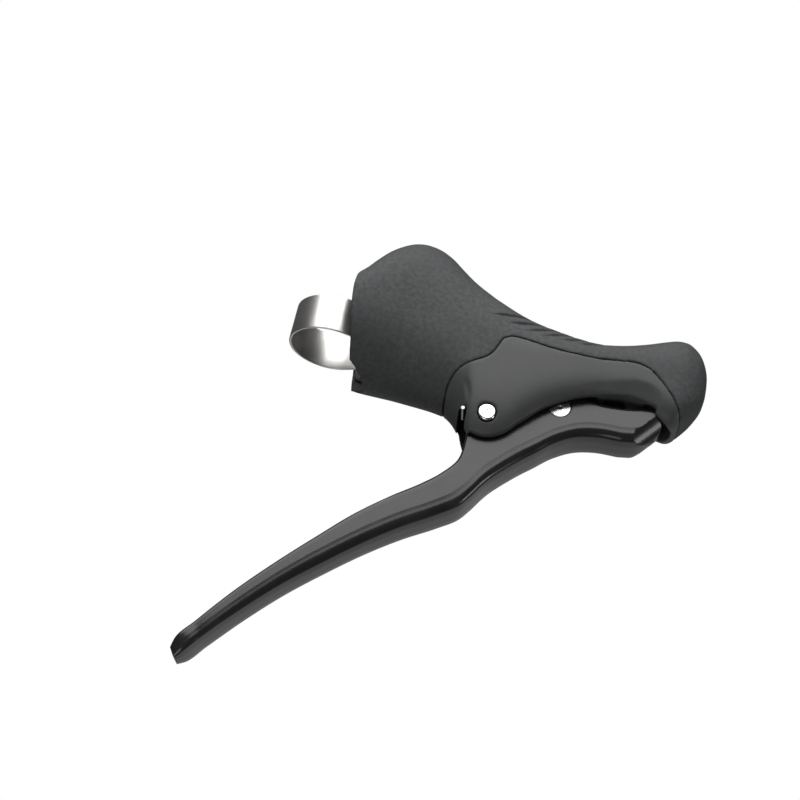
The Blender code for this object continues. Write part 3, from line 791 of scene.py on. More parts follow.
def make_hood():
    """The rubber skin with its lips and grooves."""
    hood = grip_solid("hood_rubber", 0.0, False)
    cut(
        hood,
        grip_solid("inside", 0.0, True),
        side_prism("rear", hood_rear, -ASIDE, ASIDE),
        rod("bar", (BAR_X, 0.0, -BEYOND), UP, 2.0 * BEYOND, BAR_RADIUS + 1.0),
        side_prism("panel", panel_edge, -ASIDE, ASIDE),
        side_prism("edge slit", EDGE_SLIT, -ASIDE, ASIDE),
    )
    melt(hood, 0.45, 3)
    finer(hood, by_the_grooves)
    rows = [groove_line(number, side) for side in (-1.0, 1.0) for number in range(GROOVES)]
    lines = path_object("groove_lines", rows)
    grow(hood, groove_tree(), lines=lines, width=1.0 * MM, depth=0.75 * MM)
    bpy.data.objects.remove(lines, do_unlink=True)
    return shade(thin(hood), 60.0)


hood = make_hood()

# %% [markdown]
# Hood rubber is matt charcoal with a fine moulded grain. It is a little paler
# and smoother where hands rub it, dust sits in the grain, and the two halves of the
# mould have left a fine seam along the middle of its underside.

# %% Rubber
rubber = Finish("matt rubber", (0.046, 0.048, 0.049), 0.68)
grain = rubber.noise(1.9, 3.0)
drift = rubber.noise(0.05, 3.0)
dust = rubber.noise(0.55, 8.0).between(0.58, 0.80)
worn = rubber.blended(drift.between(0.35, 0.65), (0.046, 0.048, 0.049), (0.056, 0.058, 0.059))
seam = (1 - rubber.axis(1).size().between(0.08, 0.28)) * (1 - rubber.axis(2).between(-13.0, -11.0))
mottle = rubber.blended(rubber.noise(0.75, 3.0).between(0.35, 0.65), (0.036, 0.038, 0.039), worn)
rubber.feed("Base Color", rubber.blended(dust * 0.25 + seam * 0.4, mottle, (0.085, 0.085, 0.082)))
rubber.feed("Roughness", 0.60 + drift * 0.12 + grain * 0.08)
rubber.bump(grain * 0.05 + rubber.noise(0.7, 2.0) * 0.05 + seam * 0.12, 1.0)
wear(hood, rubber, "bracket", "hood_rubber", "rubber_hood")

# %% [markdown]
# ## The bracket
#
# One moulded piece of glass-filled nylon. It has a saddle for the bar, a core
# under the rubber, two bare side panels that end in the ears round the pivot
# pin, and a slot between them for the blade. The outer shape is the grip again.
# Everything that is taken away is cut while the edges are still sharp, and then the
# whole piece is melted, because a moulded part has a small radius everywhere.

# %% Bracket
PIN_RADIUS = 2.7
SPRING_LEG = (-7.4, 0.75)
CABLE_TOWARDS = Vector((14.0, 0.0, 28.0))
CABLE_WAY_RADIUS = 1.5
FERRULE_AT = 40.0
FERRULE_RADIUS = 2.9
WAY_LENGTH = 60.0
STRAP_WAY_HALF = 6.6
STRAP_POCKET_HALF = 8.6
BOLT_WAY_RADIUS = 2.85
PAD_GAP = 0.3
PAD_SEAT_LOW = -12.0
cable_way = (CABLE_TOWARDS - ANCHOR).normalized()
pin_box = measured("pivot_pin")
pad_box = measured("lever_stop_pad")


def slot_cutter():
    """The slot for the blade, with its front end rounded in plan."""
    slot = side_prism("slot", SLOT_OUTLINE, -SLOT_HALF_WIDTH, SLOT_HALF_WIDTH)
    stadium = [(SLOT_BEHIND, -SLOT_HALF_WIDTH), (SLOT_BEHIND, SLOT_HALF_WIDTH)]
    centre = SLOT_OUTLINE[8][0] - SLOT_HALF_WIDTH
    for i in range(49):
        angle = math.pi * (0.5 - i / 48)
        stadium.append((centre + SLOT_HALF_WIDTH * math.cos(angle), SLOT_HALF_WIDTH * math.sin(angle)))
    combine(slot, plan_prism("stadium", stadium, -80.0, ASIDE), "INTERSECT")
    return slot


def mouth_cutter():
    """The relieved edge of the slot, a step that follows the bottom of the side walls."""
    rows = [row for row in grip_rows if MOUTH_SPAN[0] < row[0] < MOUTH_SPAN[1]]
    outline = [(row[0], row[2] + MOUTH_HEIGHT) for row in rows]
    outline += [(outline[-1][0], -BEYOND), (outline[0][0], -BEYOND)]
    return side_prism("mouth", outline, -MOUTH_HALF_WIDTH, MOUTH_HALF_WIDTH)


def make_bracket():
    """Core, side panels and ears in one piece, with every hole in it."""
    bracket = grip_solid("bracket_nylon", GAP, True)
    sides = side_prism("sides", drawn_in(panel_edge, PARTING_GAP), -ASIDE, ASIDE)
    combine(sides, grip_solid("outer", 0.0, False), "INTERSECT")
    combine(bracket, sides, "UNION")
    px, pz = PIVOT.x, PIVOT.z
    pad_x, pad_y, pad_z = [(low - PAD_GAP, high + PAD_GAP) for low, high in zip(*pad_box)]
    strap_z = (-STRAP_WAY_HALF, STRAP_WAY_HALF)
    pocket_y = (-STRAP_POCKET_HALF, STRAP_POCKET_HALF)
    cut(
        bracket,
        slot_cutter(),
        mouth_cutter(),
        box("rear", (-ASIDE, SADDLE_REAR_X), (-ASIDE, ASIDE), (-BEYOND, BEYOND)),
        rod("bar", (BAR_X, 0.0, -BEYOND), UP, 2.0 * BEYOND, BAR_RADIUS + 0.05),
        box("strap way", (-ASIDE, 3.0), (-ASIDE, ASIDE), strap_z),
        box("strap pocket", (2.0, BOLT_WALL[0]), pocket_y, strap_z),
        rod("bolt way", (2.0, 0.0, 0.0), FORWARD, 36.0, BOLT_WAY_RADIUS),
        rod("pin way", (px, -ASIDE, pz), ACROSS, 2.0 * ASIDE, PIN_RADIUS + 0.25),
        rod("cable way", ANCHOR, cable_way, WAY_LENGTH, CABLE_WAY_RADIUS, 48),
        rod("housing way", ANCHOR + cable_way * FERRULE_AT, cable_way, WAY_LENGTH, FERRULE_RADIUS + 0.2),
        box("pad seat", pad_x, pad_y, (PAD_SEAT_LOW, pad_z[1])),
        box("spring slit", (px - 8.6, px - 6.2), (-30.0, -7.0), (-BEYOND, pz + 1.6)),
    )
    melt(bracket, 0.42, 2)
    return shade(thin(bracket), 60.0)


bracket = make_bracket()

# %% [markdown]
# Moulded nylon with glass in it is a shade smoother than the rubber. Its skin
# has a fine spark-eroded texture and short pale fibres just under it.

# %% Moulded nylon
nylon = Finish("moulded nylon", (0.050, 0.051, 0.052), 0.5)
texture = nylon.noise(2.6, 2.0)
cloud = nylon.noise(0.09, 3.0)
fibres = nylon.noise(1.2, 1.0, nylon.stretched((1.0, 1.0, 5.0))).between(0.66, 0.78)
skin = nylon.blended(cloud.between(0.35, 0.65), (0.047, 0.048, 0.049), (0.055, 0.056, 0.057))
nylon.feed("Base Color", nylon.blended(fibres * 0.2, skin, (0.10, 0.10, 0.10)))
nylon.feed("Roughness", 0.46 + cloud * 0.10 + texture * 0.10)
nylon.bump(texture, 0.025)
wear(bracket, nylon, "bracket", "bracket_composite", "bracket_body")

# %% [markdown]
# ## The lever blade
#
# The blade is forged aluminium: flat sides, a slightly crowned front with generous
# rounded edges, a fine step line along each side, and a bend below the
# pivot where the fingers start. Its top end is rounded as if by a slanted
# cylinder, so that it clears the rounded end of the slot. It is a skin over
# cross-sections whose front and back edges follow a table, and a formula
# draws each cross-section.

# %% Sections of the blade
# front edge (x, z), back edge (x, z) from the pivot, half width
BLADE_SECTIONS = [
    (52.2, 9.8, 51.2, 12.0, 7.3), (51.2, 7.6, 48.9, 13.8, 7.3), (49.0, 5.0, 46.0, 14.0, 7.3),
    (46.0, 2.9, 43.0, 13.4, 7.3), (41.0, 1.9, 40.0, 13.0, 7.3), (34.0, 1.9, 33.5, 13.0, 7.3),
    (27.6, 0.6, 27.0, 14.4, 7.3), (22.0, -2.4, 19.5, 15.2, 7.3), (16.4, -7.2, 9.0, 11.6, 7.3),
    (11.4, -11.6, 0.4, 7.4, 7.3), (6.8, -16.2, -5.4, 3.8, 7.3), (3.2, -20.6, -5.1, -7.2, 7.3),
    (0.3, -25.2, -6.0, -14.4, 7.3), (-2.6, -29.0, -9.8, -19.4, 7.2), (-8.2, -33.0, -14.8, -23.8, 7.0),
    (-17.6, -38.8, -23.0, -29.8, 6.8), (-27.5, -46.0, -32.4, -37.6, 6.6), (-38.0, -54.8, -42.2, -47.6, 6.5),
    (-48.0, -63.8, -51.7, -57.8, 6.4), (-57.5, -73.8, -61.0, -68.6, 6.3), (-66.0, -83.7, -69.4, -79.8, 6.2),
    (-70.6, -89.5, -74.0, -86.0, 5.6), (-72.6, -91.2, -74.9, -88.4, 3.8),
]
END_POINT = Vector((49.0, 5.0))
END_LEAN = Vector((0.64, 0.77)).normalized()
END_RADIUS = 9.05
FRONT_EDGE, REAR_EDGE, STEP_BACK = 2.5, 1.7, 1.2
CROWN = 0.22
# how far the side is set in along the front rounding and at the step's foot
STEP_FIRST, STEP_SECOND = 0.10, 0.07
BUSH_BORE, BUSH_SEAT = 3.35, 4.6
POCKET_RADIUS, POCKET_HALF = 5.7, 4.0
POCKET_MOUTH = [(-12.0, -3.6), (-3.0, -3.6), (5.7, 0.0), (5.7, 14.0), (-12.0, 14.0)]
ANCHOR_BORE = 3.6
FAN_ANGLES = (128.0, 172.0)
FAN_REACH, FAN_HALF = 26.0, 1.7


def end_width(x, z):
    """How far out the slanted cylinder at the top end lets a side reach."""
    inward = Vector((-END_LEAN.y, END_LEAN.x))
    behind = (Vector((x, z)) - END_POINT).dot(inward)
    if behind >= END_RADIUS:
        return END_RADIUS
    return math.sqrt(max(END_RADIUS**2 - (END_RADIUS - max(behind, 0.02)) ** 2, 0.0))


def blade_outline(half_depth, half_width):
    """Half of a cross-section, from the middle of the front to the middle of the back."""
    edge = min(FRONT_EDGE, half_depth * 0.62, half_width * 0.7)
    rear = min(REAR_EDGE, half_depth * 0.38, half_width * 0.5)
    step = min(STEP_BACK, half_depth * 0.2)
    shoulder = half_depth - CROWN - edge
    points = [(half_depth, half_width * share) for share in (0.0, 0.2, 0.4)]
    for i in range(13):
        angle = math.pi / 2.0 * i / 12
        out_by = half_width - STEP_FIRST - edge + edge * math.sin(angle)
        points.append((shoulder + edge * math.cos(angle), out_by))
    points.append((shoulder - step, half_width - STEP_SECOND))
    points.append((shoulder - step - 0.35, half_width))
    low, high = -half_depth + rear, shoulder - step - 0.6
    points += [(high + (low - high) * i / 8, half_width) for i in range(9)]
    for i in range(1, 9):
        angle = math.pi / 2.0 * (1.0 + i / 8)
        points.append((low + rear * math.cos(angle), half_width - rear + rear * math.sin(angle)))
    points += [(-half_depth, (half_width - rear) * share) for share in (0.66, 0.33, 0.0)]
    return points


def blade_ring(row):
    """A cross-section of the blade in its place."""
    front = Vector((row[0], row[1]))
    rear = Vector((row[2], row[3]))
    half_depth = (front - rear).length / 2.0
    forward = (front - rear).normalized()
    middle = (front + rear) / 2.0
    half = blade_outline(half_depth, row[4])
    whole = half + [(a, -b) for a, b in half[-2:0:-1]]
    ring = []
    for a, b in whole:
        x, z = middle + forward * a
        limit = end_width(x, z)
        ring.append(PIVOT + Vector((x, math.copysign(min(abs(b), limit), b), z)))
    return ring


# %% Blade
def make_blade():
    """The forging, with its bores, its spring pocket and the way for the cable."""
    rows = np.concatenate([through(BLADE_SECTIONS[:5], 0.35)[:-1], through(BLADE_SECTIONS[4:], 0.9)])
    blade = loft("blade_aluminium", [blade_ring(row) for row in rows])
    px, pz = PIVOT.x, PIVOT.z
    fan = [(ANCHOR.x, ANCHOR.z - 1.0)]
    for degrees in FAN_ANGLES:
        angle = math.radians(degrees)
        fan.append((ANCHOR.x + FAN_REACH * math.cos(angle), ANCHOR.z + FAN_REACH * math.sin(angle)))
    mouth = [(px + x, pz + z) for x, z in POCKET_MOUTH]
    cut(
        blade,
        rod("bore", (px, -20.0, pz), ACROSS, 40.0, BUSH_BORE),
        rod("left seat", (px, 6.4, pz), ACROSS, 6.0, BUSH_SEAT),
        rod("right seat", (px, -12.4, pz), ACROSS, 6.0, BUSH_SEAT),
        rod("pocket", (px, -POCKET_HALF, pz), ACROSS, 2.0 * POCKET_HALF, POCKET_RADIUS),
        side_prism("pocket mouth", mouth, -POCKET_HALF, POCKET_HALF),
        box("leg way", (px + 3.2, px + 5.3), (1.8, POCKET_HALF), (pz - 9.8, pz)),
        rod("anchor bore", (ANCHOR.x, -20.0, ANCHOR.z), ACROSS, 40.0, ANCHOR_BORE),
        side_prism("cable fan", fan, -FAN_HALF, FAN_HALF),
    )
    return shade(blade, 30.0)


blade = make_blade()

# %% [markdown]
# The blade is black and glossy, with the faint waviness and orange peel of a
# sprayed coat, and soft rubbing where fingers go. A small centre mark sits in
# the middle of the top end.

# %% Gloss black coating
gloss = Finish("gloss black coating", (0.018, 0.018, 0.019), 0.26, 0.0, IOR=1.5)
wave = gloss.noise(0.25, 2.0)
rub = gloss.noise(0.12, 4.0).between(0.45, 0.75)
peel = gloss.noise(1.6, 1.0)
END_MIDDLE = Vector((49.6, 0.0, 5.8))
mark = 1 - gloss.length(gloss.centred(PIVOT + END_MIDDLE)).between(0.25, 0.6)
gloss.feed("Base Color", gloss.blended(rub, (0.016, 0.016, 0.017), (0.022, 0.022, 0.023)))
gloss.feed("Roughness", 0.22 + rub * 0.05 + wave * 0.04)
gloss.bump(wave * 0.010 + peel * 0.004 - mark * 0.3, 1.0)
wear(blade, gloss, "lever", "blade_aluminium", "lever_blade")

# %% [markdown]
# ## Pivot pin and bushes
#
# The blade turns on a bright steel pin whose ends show in the ears. It
# is turned, with rounded ends and a centre mark in each, so a profile turned
# about its axis makes it. Two flanged bushes of pale polymer line the blade.

# %% Pin and bushes
CORNER_STEPS = 6


def eased(start, end, radius, sign):
    """A rounded corner of a profile, from its full radius in to the end face."""
    made = []
    for i in range(CORNER_STEPS + 1):
        angle = math.pi / 2.0 * i / CORNER_STEPS
        along = start + sign * radius * (1.0 - math.sin(angle))
        made.append((along, end - radius + radius * math.cos(angle)))
    return made


def turned_pin(name, low, high, radius, corner, mark):
    """A pin from low to high across the part, crowned, with centre marks."""
    length = high - low
    first = [(0.16, 0.05), (0.14, mark * 0.4), (0.03, mark), (0.02, radius * 0.6)]
    first += list(reversed(eased(0.0, radius, corner, 1.0)))
    last = [(length - along, r) for along, r in reversed(first)]
    return turned(name, first + last, (PIVOT.x, low, PIVOT.z), ACROSS)


pin = shade(turned_pin("pin_steel", pin_box[0].y, pin_box[1].y, PIN_RADIUS, 0.55, 0.7), 40.0)


def make_bush(name, side):
    """A flanged bush for one cheek of the blade."""
    inner = PIN_RADIUS + 0.05
    profile = [
        (4.2, inner + 0.15), (4.2, 3.2), (4.3, 3.3), (6.3, 3.3), (6.45, 3.4), (6.45, 4.3),
        (6.55, 4.4), (7.4, 4.4), (7.55, 4.25), (7.55, inner + 0.15), (7.4, inner), (4.35, inner),
    ]
    return shade(turned(name, profile, PIVOT, (0.0, side, 0.0), hollow=True), 30.0)


bushes = [make_bush("bush_left", 1.0), make_bush("bush_right", -1.0)]

# %% Turned steel and polymer
def turned_metal(name, colour, roughness, centre):
    """Bright metal with the fine rings that a lathe leaves about an axis."""
    metal = Finish(name, colour, roughness, 1.0)
    radial = metal.centred(centre, (1.0, 0.0, 1.0))
    tool = metal.rings(radial, 3.0)
    smear = metal.noise(0.4, 4.0)
    metal.feed("Roughness", roughness + tool * 0.05 + smear * 0.10)
    darker = tuple(c * 0.86 for c in colour)
    metal.feed("Base Color", metal.blended(smear.between(0.3, 0.7), colour, darker))
    metal.bump(tool, 0.004)
    return metal


bright = turned_metal("bright turned steel", (0.80, 0.80, 0.79), 0.16, PIVOT)
wear(pin, bright, "bracket", "pin_steel", "pivot_pin")

polymer = Finish("bearing polymer", (0.55, 0.53, 0.48), 0.45)
flow = polymer.noise(0.5, 4.0)
polymer.feed("Base Color", polymer.blended(flow, (0.50, 0.48, 0.43), (0.62, 0.60, 0.55)))
polymer.feed("Roughness", 0.38 + flow * 0.16)
polymer.bump(polymer.noise(2.2, 2.0), 0.01)
wear(bushes[0], polymer, "lever", "bush_polymer", "pivot_bush_left")
wear(bushes[1], polymer, "lever", "bush_polymer", "pivot_bush_right")

# %% [markdown]
# ## Return spring
#
# A torsion spring of 1.1 mm wire sits round the pin inside the blade. One leg
# leans on the blade and the other leaves through a slit behind the ear and
# holds on the bracket. The wire follows a path, so Geometry Nodes sweep a circle
# along it, after rounding the bends of the legs. When the blade is
# pulled the coil winds up.

# %% Spring
SPRING_RADIUS = 4.3
SPRING_HALF_SPAN = 2.9
SPRING_TURNS = 4
WIRE_RADIUS = 0.55
BLADE_LEG_Z = -9.0
BRACKET_LEG_Y = -11.0


def spring_path():
    """Points of the wire from the blade's leg to the bracket's leg."""
    radius, span = SPRING_RADIUS, SPRING_HALF_SPAN
    leg_x, leg_z = SPRING_LEG
    leave = math.atan2(leg_z, leg_x) - math.acos(radius / math.hypot(leg_x, leg_z))
    sweep = math.tau * SPRING_TURNS + leave
    path = [Vector((radius, span, BLADE_LEG_Z))]
    steps = 40 * SPRING_TURNS
    for i in range(steps + 1):
        angle = sweep * i / steps
        y = span * (1.0 - 2.0 * i / steps)
        path.append(Vector((radius * math.cos(angle), y, radius * math.sin(angle))))
    path.append(Vector((leg_x, -span - 0.6, leg_z)))
    path.append(Vector((leg_x, BRACKET_LEG_Y, leg_z)))
    return [PIVOT + point for point in path]


def wire_tree():
    """Sweep a round wire along a row of edges."""
    inputs = {"Wire Radius": "Float", "Bend Radius": "Float", "Sides": "Int"}
    tree, given = node_maker("Round wire", inputs)
    curve = put(tree, "GeometryNodeMeshToCurve", None, {"Mesh": given["Geometry"]})
    bends = {"Curve": curve, "Radius": given["Bend Radius"], "Count": 6, "Limit Radius": True}
    bent = put(tree, "GeometryNodeFilletCurve", {"mode": "POLY"}, bends)
    sizes = {"Radius": given["Wire Radius"], "Resolution": given["Sides"]}
    circle = put(tree, "GeometryNodeCurvePrimitiveCircle", None, sizes)
    along = {"Curve": bent, "Profile Curve": circle, "Fill Caps": True}
    close(tree, put(tree, "GeometryNodeCurveToMesh", None, along))
    return tree


spring = path_object("spring_steel", [spring_path()])
grow(spring, wire_tree(), wire_radius=WIRE_RADIUS * MM, bend_radius=0.6 * MM, sides=20)
shade(spring, 60.0)

drawn = Finish("drawn spring steel", (0.42, 0.42, 0.43), 0.34, 1.0)
streak = drawn.noise(0.9, 5.0, drawn.stretched((1.0, 4.0, 1.0)))
drawn.feed("Base Color", drawn.blended(streak, (0.34, 0.34, 0.35), (0.50, 0.50, 0.50)))
drawn.feed("Roughness", 0.28 + streak * 0.16)
drawn.bump(streak, 0.01)
wear(spring, drawn, None, "spring_steel", "return_spring")
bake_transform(spring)

# %% [markdown]
# ## Cable anchor
#
# The cable's head sits in a steel barrel that turns in the blade, so the cable
# is never bent at its end. The barrel is bored across for the cable and the
# head. Its end shows just under the edge of the bracket.

# %% Anchor
ANCHOR_RADIUS = 3.5


def make_anchor():
    """A barrel with rounded ends and its two bores."""
    low, high = measured("cable_anchor")
    half = (high.y - low.y) / 2.0
    first = [(0.25, 0.05), (0.25, 0.4), (0.0, 0.75)]
    first += list(reversed(eased(0.0, ANCHOR_RADIUS, 0.5, 1.0)))
    last = [(2.0 * half - along, r) for along, r in reversed(first)]
    barrel = turned("anchor_steel", first + last, ANCHOR - ACROSS * half, ACROSS)
    cut(
        barrel,
        rod("cable hole", ANCHOR - cable_way * 8.0, cable_way, 16.0, 1.1, 48),
        rod("head seat", ANCHOR + cable_way * 0.6, -cable_way, 10.0, 2.4, 64),
    )
    return shade(barrel, 32.0)


anchor = make_anchor()
barrel_steel = turned_metal("bright barrel steel", (0.82, 0.82, 0.80), 0.18, ANCHOR)
wear(anchor, barrel_steel, "anchor", "anchor_steel", "cable_anchor")

# %% [markdown]
# ## Clamp strap
#
# A stainless strap runs round the handlebar and closes round a barrel
# nut in front of it. Seen from above its line is two arcs joined by straight
# tangents. That rule gives the path, and Geometry Nodes sweep the strap's
# flat section along it, so the whole piece follows four numbers.

# %% Strap
NUT_TO_BAR = 21.0
NUT_X = BAR_X + NUT_TO_BAR
NUT_RADIUS = 4.0
STRAP_THICKNESS = 0.8
STRAP_HALF_WIDTH = 6.0


def strap_path(offset):
    """The line of the strap: round the bar, along the tangents, round the nut."""
    big = BAR_RADIUS + 0.05 + offset
    small = NUT_RADIUS + 0.1 + offset
    lean = math.asin((big - small) / NUT_TO_BAR)
    points = []
    for i in range(121):
        angle = math.pi / 2.0 - lean + (math.pi + 2.0 * lean) * i / 120
        points.append((BAR_X + big * math.cos(angle), big * math.sin(angle), 0.0))
    for i in range(49):
        angle = -math.pi / 2.0 + lean + (math.pi - 2.0 * lean) * i / 48
        points.append((NUT_X + small * math.cos(angle), small * math.sin(angle), 0.0))
    return points


def strap_tree():
    """Sweep a flat section with eased corners along a closed path."""
    inputs = {"Thickness": "Float", "Width": "Float", "Corner": "Float"}
    tree, given = node_maker("Flat strap", inputs)
    curve = put(tree, "GeometryNodeMeshToCurve", None, {"Mesh": given["Geometry"]})
    flat = {"Width": given["Thickness"], "Height": given["Width"]}
    section = put(tree, "GeometryNodeCurvePrimitiveQuadrilateral", None, flat)
    corners = {"Curve": section, "Radius": given["Corner"], "Count": 4}
    rounded = put(tree, "GeometryNodeFilletCurve", {"mode": "POLY"}, corners)
    along = {"Curve": curve, "Profile Curve": rounded}
    close(tree, put(tree, "GeometryNodeCurveToMesh", None, along))
    return tree


strap = path_object("band_steel", [strap_path(STRAP_THICKNESS / 2.0)], closed=True)
strap_width = 2.0 * STRAP_HALF_WIDTH
grow(strap, strap_tree(), thickness=STRAP_THICKNESS * MM, width=strap_width * MM, corner=0.22 * MM)
cut(strap, rod("bolt hole", (NUT_X, 0.0, 0.0), FORWARD, 12.0, 2.8, 64))
shade(strap, 35.0)
print("strap spans z", [round(f(v.co.z for v in strap.data.vertices) / MM, 2) for f in (min, max)])

brushed = Finish("brushed stainless strap", (0.62, 0.61, 0.59), 0.3, 1.0)
lines = brushed.noise(1.0, 4.0, brushed.stretched((0.15, 0.15, 9.0)))
stain = brushed.noise(0.15, 4.0)
brushed.feed("Base Color", brushed.blended(stain, (0.52, 0.51, 0.49), (0.70, 0.69, 0.67)))
brushed.feed("Roughness", 0.22 + lines * 0.22)
brushed.bump(lines, 0.012)
wear(strap, brushed, "bracket", "band_steel", "clamp_band")

# %% [markdown]
# ## Barrel nut, washer and clamp bolt
#
# The bolt is reached from the front, through the slot. It pulls the barrel nut,
# and with it the strap, into the bracket. The nut and washer are turned. The
# bolt has two things that repeat, a knurl round its head and a thread, and each
# is a Geometry Nodes tree: one sets ridges on the points of a circle, the
# other sweeps a ridge along a spiral.

# %% Nut and washer
NUT_LENGTH = 11.0


def make_nut():
    """A round nut that stands in the closed end of the strap."""
    first = [(0.0, 0.05)] + list(reversed(eased(0.0, NUT_RADIUS, 0.45, 1.0)))
    last = [(NUT_LENGTH - along, r) for along, r in reversed(first)]
    nut = turned("nut_steel", first + last, (NUT_X, 0.0, -NUT_LENGTH / 2.0), UP)
    cut(nut, rod("thread", (NUT_X - 11.0, 0.0, 0.0), FORWARD, 22.0, 2.55, 64))
    return shade(nut, 32.0)


def make_washer():
    """A stamped washer, rounded on its outer edge by the punch."""
    start, inner = (BOLT_WALL[1] + 0.1, 0.0, 0.0), 2.7
    profile = [
        (0.08, inner), (0.0, inner + 0.1), (0.0, 4.52), (0.08, 4.6), (0.72, 4.6), (0.85, 4.52),
        (0.9, 4.40), (0.9, inner + 0.12), (0.80, inner),
    ]
    return shade(turned("washer_steel", profile, start, FORWARD, hollow=True), 28.0)


nut = make_nut()
washer = make_washer()

# %% Bolt with a knurl and a thread
BOLT_START = 5.5
BOLT_THREAD = 14.0
BOLT_SEAT = BOLT_WALL[1] + 1.1
BOLT_HEAD = 5.0
HEAD_RADIUS = 4.25
SHANK_RADIUS, CORE_RADIUS = 2.45, 2.12
KNURL_RIDGES = 48
KNURL_RADIUS = 0.17
THREAD_PITCH = 0.8


def knurl_tree():
    """Set ridges round the circle given by the mesh, and keep what was there."""
    inputs = {
        "Count": "Int", "Circle Radius": "Float", "Ridge Radius": "Float", "Ridge Length": "Float",
        "Middle": "Vector",
    }
    tree, given = node_maker("Knurl", inputs)
    around = {"Vertices": given["Count"], "Radius": given["Circle Radius"]}
    circle = put(tree, "GeometryNodeMeshCircle", None, around)
    sizes = {
        "Vertices": 6, "Side Segments": 1, "Radius": given["Ridge Radius"],
        "Depth": given["Ridge Length"],
    }
    ridge = put(tree, "GeometryNodeMeshCylinder", None, sizes)
    ridges = put(tree, "GeometryNodeInstanceOnPoints", None, {"Points": circle, "Instance": ridge})
    close_beside(tree, ridges, given["Middle"], given)
    return tree


def thread_tree():
    """Sweep a ridge along a spiral about the bolt, and keep what was there."""
    inputs = {
        "Turns": "Float", "Core Radius": "Float", "Length": "Float", "Ridge": "Float",
        "Start": "Vector",
    }
    tree, given = node_maker("Thread", inputs)
    sizes = {
        "Resolution": 24, "Rotations": given["Turns"], "Start Radius": given["Core Radius"],
        "End Radius": given["Core Radius"], "Height": given["Length"],
    }
    spiral = put(tree, "GeometryNodeCurveSpiral", None, sizes)
    triangle = {"Resolution": 3, "Radius": given["Ridge"]}
    section = put(tree, "GeometryNodeCurvePrimitiveCircle", None, triangle)
    along = {"Curve": spiral, "Profile Curve": section, "Fill Caps": True}
    swept = put(tree, "GeometryNodeCurveToMesh", None, along)
    close_beside(tree, swept, given["Start"], given)
    return tree


def make_bolt():
    """A socket-head bolt: shank, thread, head, knurl and hexagon."""
    seat = BOLT_SEAT - BOLT_START
    profile = [
        (0.0, 0.05), (0.0, 1.7), (0.4, CORE_RADIUS), (BOLT_THREAD + 0.6, CORE_RADIUS),
        (BOLT_THREAD + 1.0, SHANK_RADIUS), (seat - 0.15, SHANK_RADIUS), (seat, 2.6),
        (seat, HEAD_RADIUS - 0.25), (seat + 0.12, HEAD_RADIUS - 0.1),
        (seat + BOLT_HEAD - 0.5, HEAD_RADIUS - 0.1),
    ]
    profile += [(seat + along, r) for along, r in eased(BOLT_HEAD, HEAD_RADIUS - 0.15, 0.45, -1.0)]
    profile += [(seat + BOLT_HEAD, 0.05)]
    bolt = turned("bolt_steel", profile, (BOLT_START, 0.0, 0.0), FORWARD)
    mouth = [(0.0, 2.0), (1.0, 3.0)]
    cut(
        bolt,
        rod("hexagon", (BOLT_SEAT + 2.2, 0.0, 0.0), FORWARD, 6.0, 2.31, 6),
        turned("mouth", mouth, (BOLT_SEAT + BOLT_HEAD - 0.35, 0.0, 0.0), FORWARD),
    )
    grow(
        bolt, knurl_tree(), count=KNURL_RIDGES, circle_radius=(HEAD_RADIUS - KNURL_RADIUS) * MM,
        ridge_radius=KNURL_RADIUS * MM, ridge_length=(BOLT_HEAD - 1.1) * MM,
        middle=placed((BOLT_SEAT + BOLT_HEAD / 2.0 - 0.1, 0.0, 0.0)),
    )
    grow(
        bolt, thread_tree(), turns=BOLT_THREAD / THREAD_PITCH, core_radius=2.18 * MM,
        length=BOLT_THREAD * MM, ridge=0.3 * MM, start=placed((BOLT_START + 0.5, 0.0, 0.0)),
    )
    return shade(bolt, 32.0)


bolt = make_bolt()

# %% Plated and blackened steel
def plated(name, first, second, roughness):
    """Thinly plated steel, a little cloudy and pitted."""
    metal = Finish(name, first, roughness, 1.0)
    cloudy = metal.noise(0.35, 5.0)
    metal.feed("Base Color", metal.blended(cloudy.between(0.3, 0.7), first, second))
    metal.feed("Roughness", roughness - 0.06 + cloudy * 0.16)
    metal.bump(metal.noise(2.0, 3.0), 0.008)
    return metal


zinc = plated("plated nut", (0.55, 0.56, 0.58), (0.66, 0.66, 0.64), 0.34)
wear(nut, zinc, "bracket", "nut_steel", "clamp_nut")
disc = plated("plated washer", (0.60, 0.60, 0.61), (0.70, 0.70, 0.69), 0.30)
wear(washer, disc, "bracket", "washer_steel", "clamp_washer")
black = plated("blackened bolt", (0.085, 0.085, 0.090), (0.13, 0.13, 0.13), 0.36)
wear(bolt, black, "bracket", "bolt_steel", "clamp_bolt")

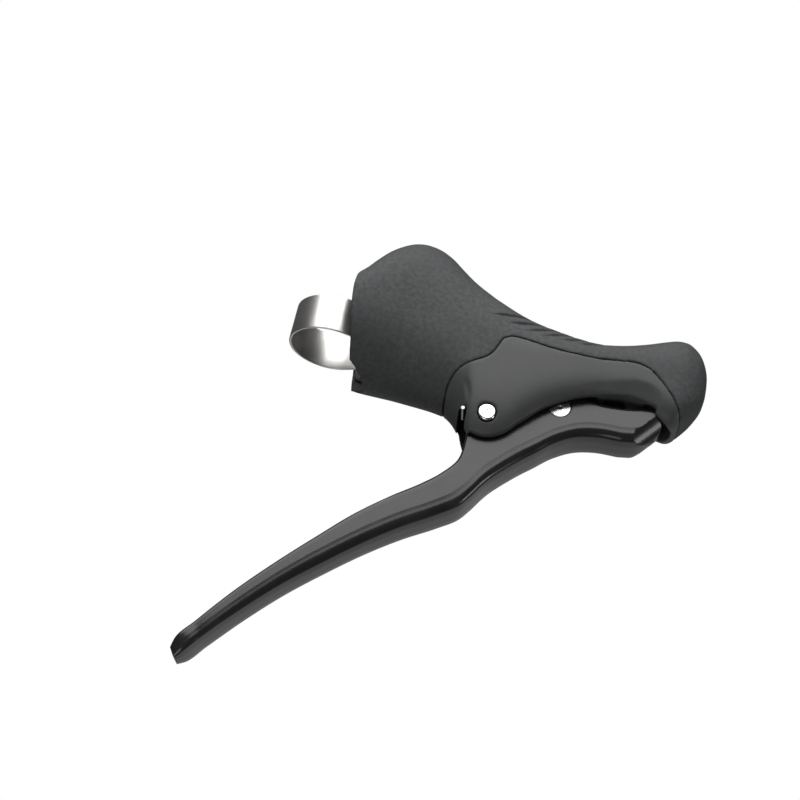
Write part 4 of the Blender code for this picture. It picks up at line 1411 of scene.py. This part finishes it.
# %% [markdown]
# ## Ferrule and stop pad
#
# The cable housing ends in a small metal cap at the top of its way through
# the bracket. The pad in the roof of the slot is the rubber that the resting blade
# leans on. It is a moulded block with rounded edges and two shallow ribs.

# %% Ferrule
def make_ferrule():
    """A drawn cap, open to the housing, with a rolled rim."""
    profile = [
        (0.35, 1.2), (0.2, 1.35), (0.2, 2.55), (0.35, 2.75), (0.6, 2.85), (5.6, 2.85), (5.9, 2.9),
        (6.85, 2.9), (7.0, 2.78), (7.0, 2.66), (6.8, 2.55), (1.4, 2.55), (1.4, 1.3), (1.25, 1.2),
    ]
    seat = ANCHOR + cable_way * FERRULE_AT
    return shade(turned("ferrule_aluminium", profile, seat, cable_way, hollow=True), 30.0)


ferrule = make_ferrule()
cap = plated("satin ferrule", (0.72, 0.72, 0.72), (0.82, 0.82, 0.81), 0.28)
wear(ferrule, cap, "bracket", "ferrule_aluminium", "housing_ferrule")


# %% Stop pad
PAD_RIB = 0.35


def make_pad():
    """A small moulded block whose lower face carries two ribs."""
    low, high = pad_box
    (x0, y0, z0), (x1, y1, z1) = low, high
    outline = [(x0, z1), (x0, z0 + PAD_RIB)]
    for i in range(25):
        share = i / 24
        rib = PAD_RIB * math.sin(math.tau * share) ** 2
        outline.append((x0 + 0.3 + (x1 - x0 - 0.6) * share, z0 + PAD_RIB - rib))
    outline += [(x1, z0 + PAD_RIB), (x1, z1)]
    pad = side_prism("pad_rubber", outline, y0, y1)
    edge = pad.modifiers.new("eased edges", "BEVEL")
    edge.width = 0.25 * MM
    edge.segments = 3
    edge.limit_method = "ANGLE"
    edge.angle_limit = math.radians(40.0)
    return shade(settle(pad), 40.0)


pad = make_pad()
soft = Finish("soft rubber", (0.022, 0.022, 0.022), 0.8)
bloom = soft.noise(0.6, 5.0)
soft.feed("Base Color", soft.blended(bloom, (0.018, 0.018, 0.018), (0.032, 0.032, 0.031)))
soft.feed("Roughness", 0.70 + bloom * 0.16)
soft.bump(soft.noise(2.5, 2.0), 0.03)
wear(pad, soft, "bracket", "pad_rubber", "lever_stop_pad")
